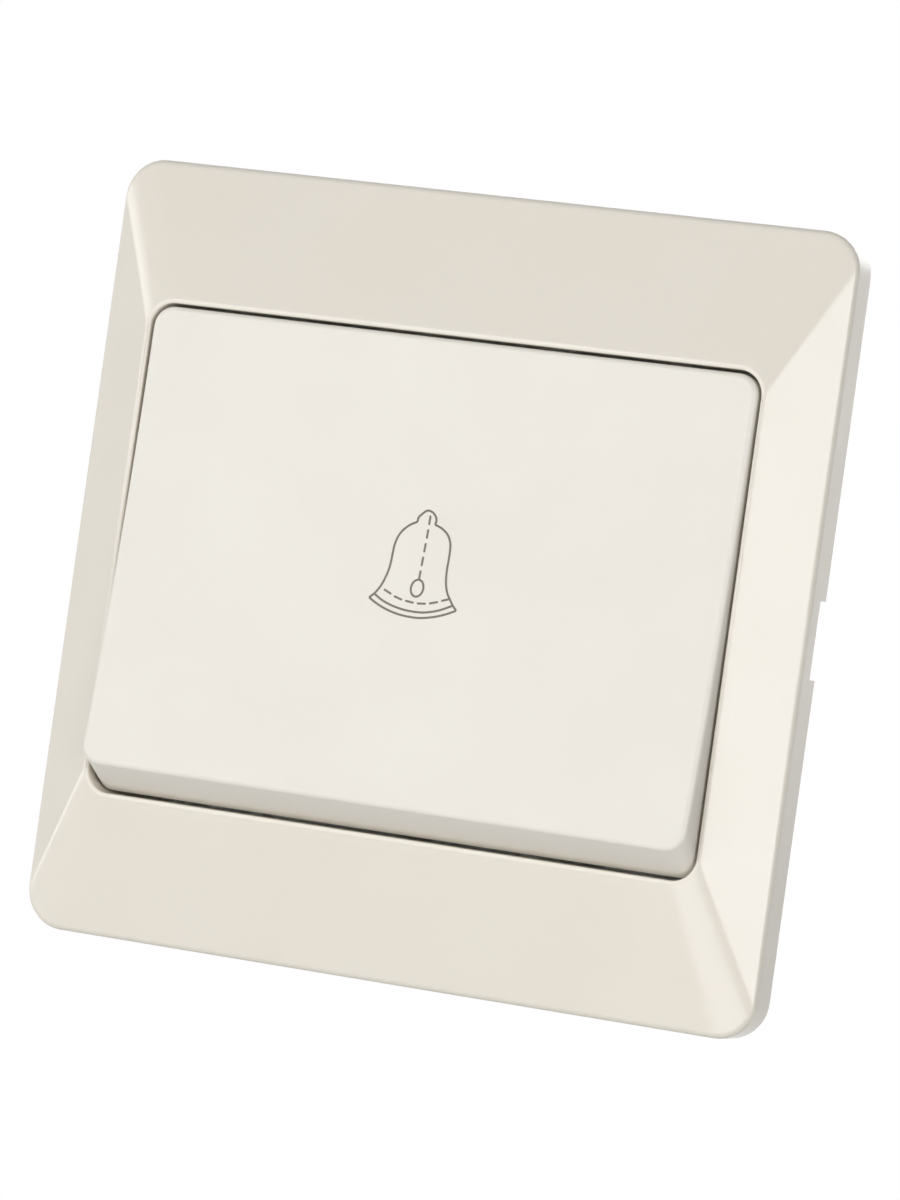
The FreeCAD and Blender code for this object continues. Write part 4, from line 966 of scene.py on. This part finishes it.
coils, given = new_tree("coil_springs", [
    ("Diameter", "NodeSocketFloat"), ("Wire", "NodeSocketFloat"), ("Turns", "NodeSocketFloat"),
    ("Flat Turns", "NodeSocketFloat"), ("Length", "NodeSocketFloat")])
along = node(coils, "GeometryNodeSplineParameter").outputs["Factor"]
turned_by = calc(coils, "MULTIPLY", along, given["Turns"])
angle = calc(coils, "MULTIPLY", turned_by, 2 * math.pi)
reach = calc(coils, "DIVIDE", given["Diameter"], 2.0)
wire_radius = calc(coils, "DIVIDE", given["Wire"], 2.0)
climbing = calc(coils, "SUBTRACT", given["Turns"], calc(coils, "MULTIPLY", given["Flat Turns"], 2.0))
climb = calc(coils, "DIVIDE", calc(coils, "SUBTRACT", turned_by, given["Flat Turns"]), climbing, clamp=True)
rise = calc(coils, "MULTIPLY", climb, calc(coils, "SUBTRACT", given["Length"], given["Wire"]))
spot = node(coils, "ShaderNodeCombineXYZ", {
    "X": calc(coils, "MULTIPLY", calc(coils, "COSINE", angle), reach),
    "Y": calc(coils, "ADD", rise, wire_radius),
    "Z": calc(coils, "MULTIPLY", calc(coils, "SINE", angle), reach),
}).outputs["Vector"]
line = node(coils, "GeometryNodeCurvePrimitiveLine").outputs["Curve"]
steps = calc(coils, "MULTIPLY", given["Turns"], STEPS_PER_TURN)
many = node(coils, "GeometryNodeResampleCurve", {"Curve": line, "Count": steps}).outputs["Curve"]
wound = node(coils, "GeometryNodeSetPosition", {"Geometry": many, "Position": spot}).outputs["Geometry"]
profile = node(coils, "GeometryNodeCurvePrimitiveCircle", {"Resolution": WIRE_SIDES, "Radius": wire_radius})
sweep = node(coils, "GeometryNodeCurveToMesh", {
    "Curve": wound, "Profile Curve": profile.outputs["Curve"], "Fill Caps": True})
soft = node(coils, "GeometryNodeSetShadeSmooth", {"Geometry": sweep.outputs["Mesh"]}).outputs["Geometry"]
end_tree(coils, {"Points": given["Geometry"], "Instance": soft}, given["Finish"])


def set_springs(name, solids, places, back, diameter, wire, turns, flat_turns):
    """Springs at places across and up, from the front end of the solids they stand for to their seat."""
    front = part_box(solids[0])[0][1] / MM
    values = {"Diameter": diameter * MM, "Wire": wire * MM, "Turns": turns, "Flat Turns": flat_turns,
              "Length": (back - front) * MM}
    where = guide(name + "_spots", [(x, front, z) for x, z in places])
    return grown(name, where, coils, values, "wall_unit", "spring_steel", solids)


springs = set_springs("return_springs", ["return_spring_left", "return_spring_right"],
                      [(-RETURN_X, RETURN_Z), (RETURN_X, RETURN_Z)], RETURN_BACK, 4.5, 0.5, 5.0, 0.5)
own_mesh(springs)
springs = set_springs("contact_spring", ["arm_spring"], [(0, ARM_SPRING_Z)],
                      ARM_SPRING_BACK, 3.6, 0.4, 3.0, 0.4)
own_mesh(springs)

# %% [markdown]
# Six slotted screws hold the unit together: four long ones from the strap into the base, and two short ones
# that clamp the wires. One screw of each kind is modelled, and a tree sets copies of it at the holes. A
# thread is a slope wound round a shank, so each point's distance from the axis depends on both its turn and
# its place along. No two screws stop at the same angle, so each copy is turned a little, by a random value
# with a fixed seed.

# %% Screws
SLOT = 0.7
SLOT_DEPTH = 0.6
HEAD_SIDES = 48
HEAD_EDGE = 0.1
HEAD_EASE = 0.08
OVERLAP = 0.01
THREAD_SIDES = 16
THREAD_ROWS = 6
TIP_SHARE = 0.55
SLACK = math.radians(9)
SEED = 7


def threaded(length, outer, core, pitch):
    """Shank along Y with a helical thread that runs out in a short cone at its tip."""
    rows = int(length / pitch * THREAD_ROWS)
    points = []
    for row in range(rows + 1):
        y = length * row / rows
        taper = min(1.0, (length - y) / (outer / 2) + TIP_SHARE)
        for side in range(THREAD_SIDES):
            phase = (y / pitch - side / THREAD_SIDES) % 1.0
            radius = (core + (outer - core) * (1 - abs(2 * phase - 1))) / 2 * taper
            angle = 2 * math.pi * side / THREAD_SIDES
            points.append((radius * math.cos(angle), y, radius * math.sin(angle)))
    return tube(points, THREAD_SIDES)


def slotted(head, high, length, outer, core, pitch):
    """Cheese-head screw with its head towards the front and its underside at nought."""
    floor = SLOT_DEPTH - high
    disc = rod([(head / 2 - HEAD_EDGE, 0.0), (head / 2, -HEAD_EDGE), (head / 2, floor)], 0, 0, HEAD_SIDES)
    start = math.asin(SLOT / head)
    steps = HEAD_SIDES // 2
    arc = [start + (math.pi - 2 * start) * step / steps for step in range(steps + 1)]
    halves = []
    for side in (-1, 1):
        outline = [(head / 2 * math.cos(angle), side * head / 2 * math.sin(angle)) for angle in arc]
        halves.append(eased(bar(outline, "y", -high, floor + OVERLAP), HEAD_EASE))
    return joined(disc, *halves, threaded(length, outer, core, pitch))


fasteners, given = new_tree("screws_at_spots", [
    ("Screw", "NodeSocketObject"), ("Slack", "NodeSocketFloat"), ("Seed", "NodeSocketInt")])
model = node(fasteners, "GeometryNodeObjectInfo", {"Object": given["Screw"]})
feeds = {2: calc(fasteners, "MULTIPLY", given["Slack"], -1.0), 3: given["Slack"], "Seed": given["Seed"]}
wobble = node(fasteners, "FunctionNodeRandomValue", feeds, data_type="FLOAT").outputs[1]
facing = node(fasteners, "GeometryNodeInputNamedAttribute", {"Name": "facing"}, data_type="FLOAT")
turn_by = node(fasteners, "ShaderNodeCombineXYZ", {"Y": wobble, "Z": facing.outputs["Attribute"]})
end_tree(fasteners, {"Points": given["Geometry"], "Instance": model.outputs["Geometry"],
                     "Rotation": turn_by.outputs["Vector"]}, given["Finish"])


def set_screws(name, screw, spots, facings, stands_for):
    """Copies of a screw at spots, each facing by an angle about Z."""
    where = guide(name + "_spots", spots)
    angles = where.attributes.new("facing", "FLOAT", "POINT")
    angles.data.foreach_set("value", facings)
    model = pattern(name + "_model", *screw)
    values = {"Screw": model, "Slack": SLACK, "Seed": SEED}
    grown(name, where, fasteners, values, "wall_unit", "screw_steel", stands_for)
    bpy.data.objects.remove(model)


corners = [(-1, -1, "lower_left"), (1, -1, "lower_right"), (-1, 1, "upper_left"), (1, 1, "upper_right")]
set_screws("strap_screws", slotted(4.2, 1.2, 11.0, 2.2, 1.8, 0.45),
           [(18.2 * hand, -1.2, 15.2 * side) for hand, side, spot_name in corners], [0.0] * 4,
           ["strap_screw_" + spot_name for hand, side, spot_name in corners])
set_screws("terminal_screws", slotted(4.8, 1.5, 1.9, 2.8, 2.3, 0.5),
           [(-19.6, 15.5, 0), (19.6, 15.5, 0)], [-math.pi / 2, math.pi / 2],
           ["terminal_screw_left", "terminal_screw_right"])

# %% [markdown]
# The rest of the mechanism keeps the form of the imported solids. Sheet metal and moulded parts never end in a
# knife edge, though, and a thin bright line along each edge is what makes a part look solid. So each solid is
# copied, its loose triangles are merged and its flat faces joined up, a Bevel modifier rounds what is sharp,
# and a Weighted Normal modifier keeps the flats flat. The copy stands for the solid.

# %% Mechanism
SHARP = math.radians(33)
FLAT = math.radians(0.4)
WELD = 2e-6
FLAT_WEIGHT = 80
EDGES = {
    "mounting_strap": 0.15, "bearing_cover": 0.20, "mechanism_base": 0.20, "rocker_cradle": 0.18,
    "terminal_left": 0.15, "terminal_right": 0.15, "fixed_contact_strip": 0.08, "fixed_contact_tip": 0.15,
    "hinge_bracket": 0.06, "arm_pin": 0.12, "contact_arm": 0.08, "moving_contact_tip": 0.12,
}


def softened(solid_name, width):
    """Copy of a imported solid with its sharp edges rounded, which stands for it."""
    work = bmesh.new()
    work.from_mesh(frame["nodes"][solid_name].data)
    bmesh.ops.remove_doubles(work, verts=work.verts, dist=WELD)
    bmesh.ops.dissolve_limit(work, angle_limit=FLAT, verts=work.verts, edges=work.edges)
    mesh = bpy.data.meshes.new(solid_name + "_finished")
    work.to_mesh(mesh)
    work.free()
    mesh.polygons.foreach_set("use_smooth", [True] * len(mesh.polygons))
    piece = new_object(solid_name + "_finished", mesh)
    edges = piece.modifiers.new("edges", "BEVEL")
    edges.width = width * MM
    edges.segments = BEVEL_STEPS
    edges.limit_method = "ANGLE"
    edges.angle_limit = SHARP
    piece.modifiers.new("flats", "WEIGHTED_NORMAL").weight = FLAT_WEIGHT
    done = kept_plain(piece)
    done.materials.clear()
    done.materials.append(FINISH[SLOT_OF[solid_name]])
    hand_over(piece, BODY_OF[solid_name], [solid_name])
    return len(done.polygons)


for name, width in EDGES.items():
    print(name, "finished with", softened(name, width), "faces")

# %% Set the view transform
bpy.context.scene.view_settings.view_transform = "Standard"
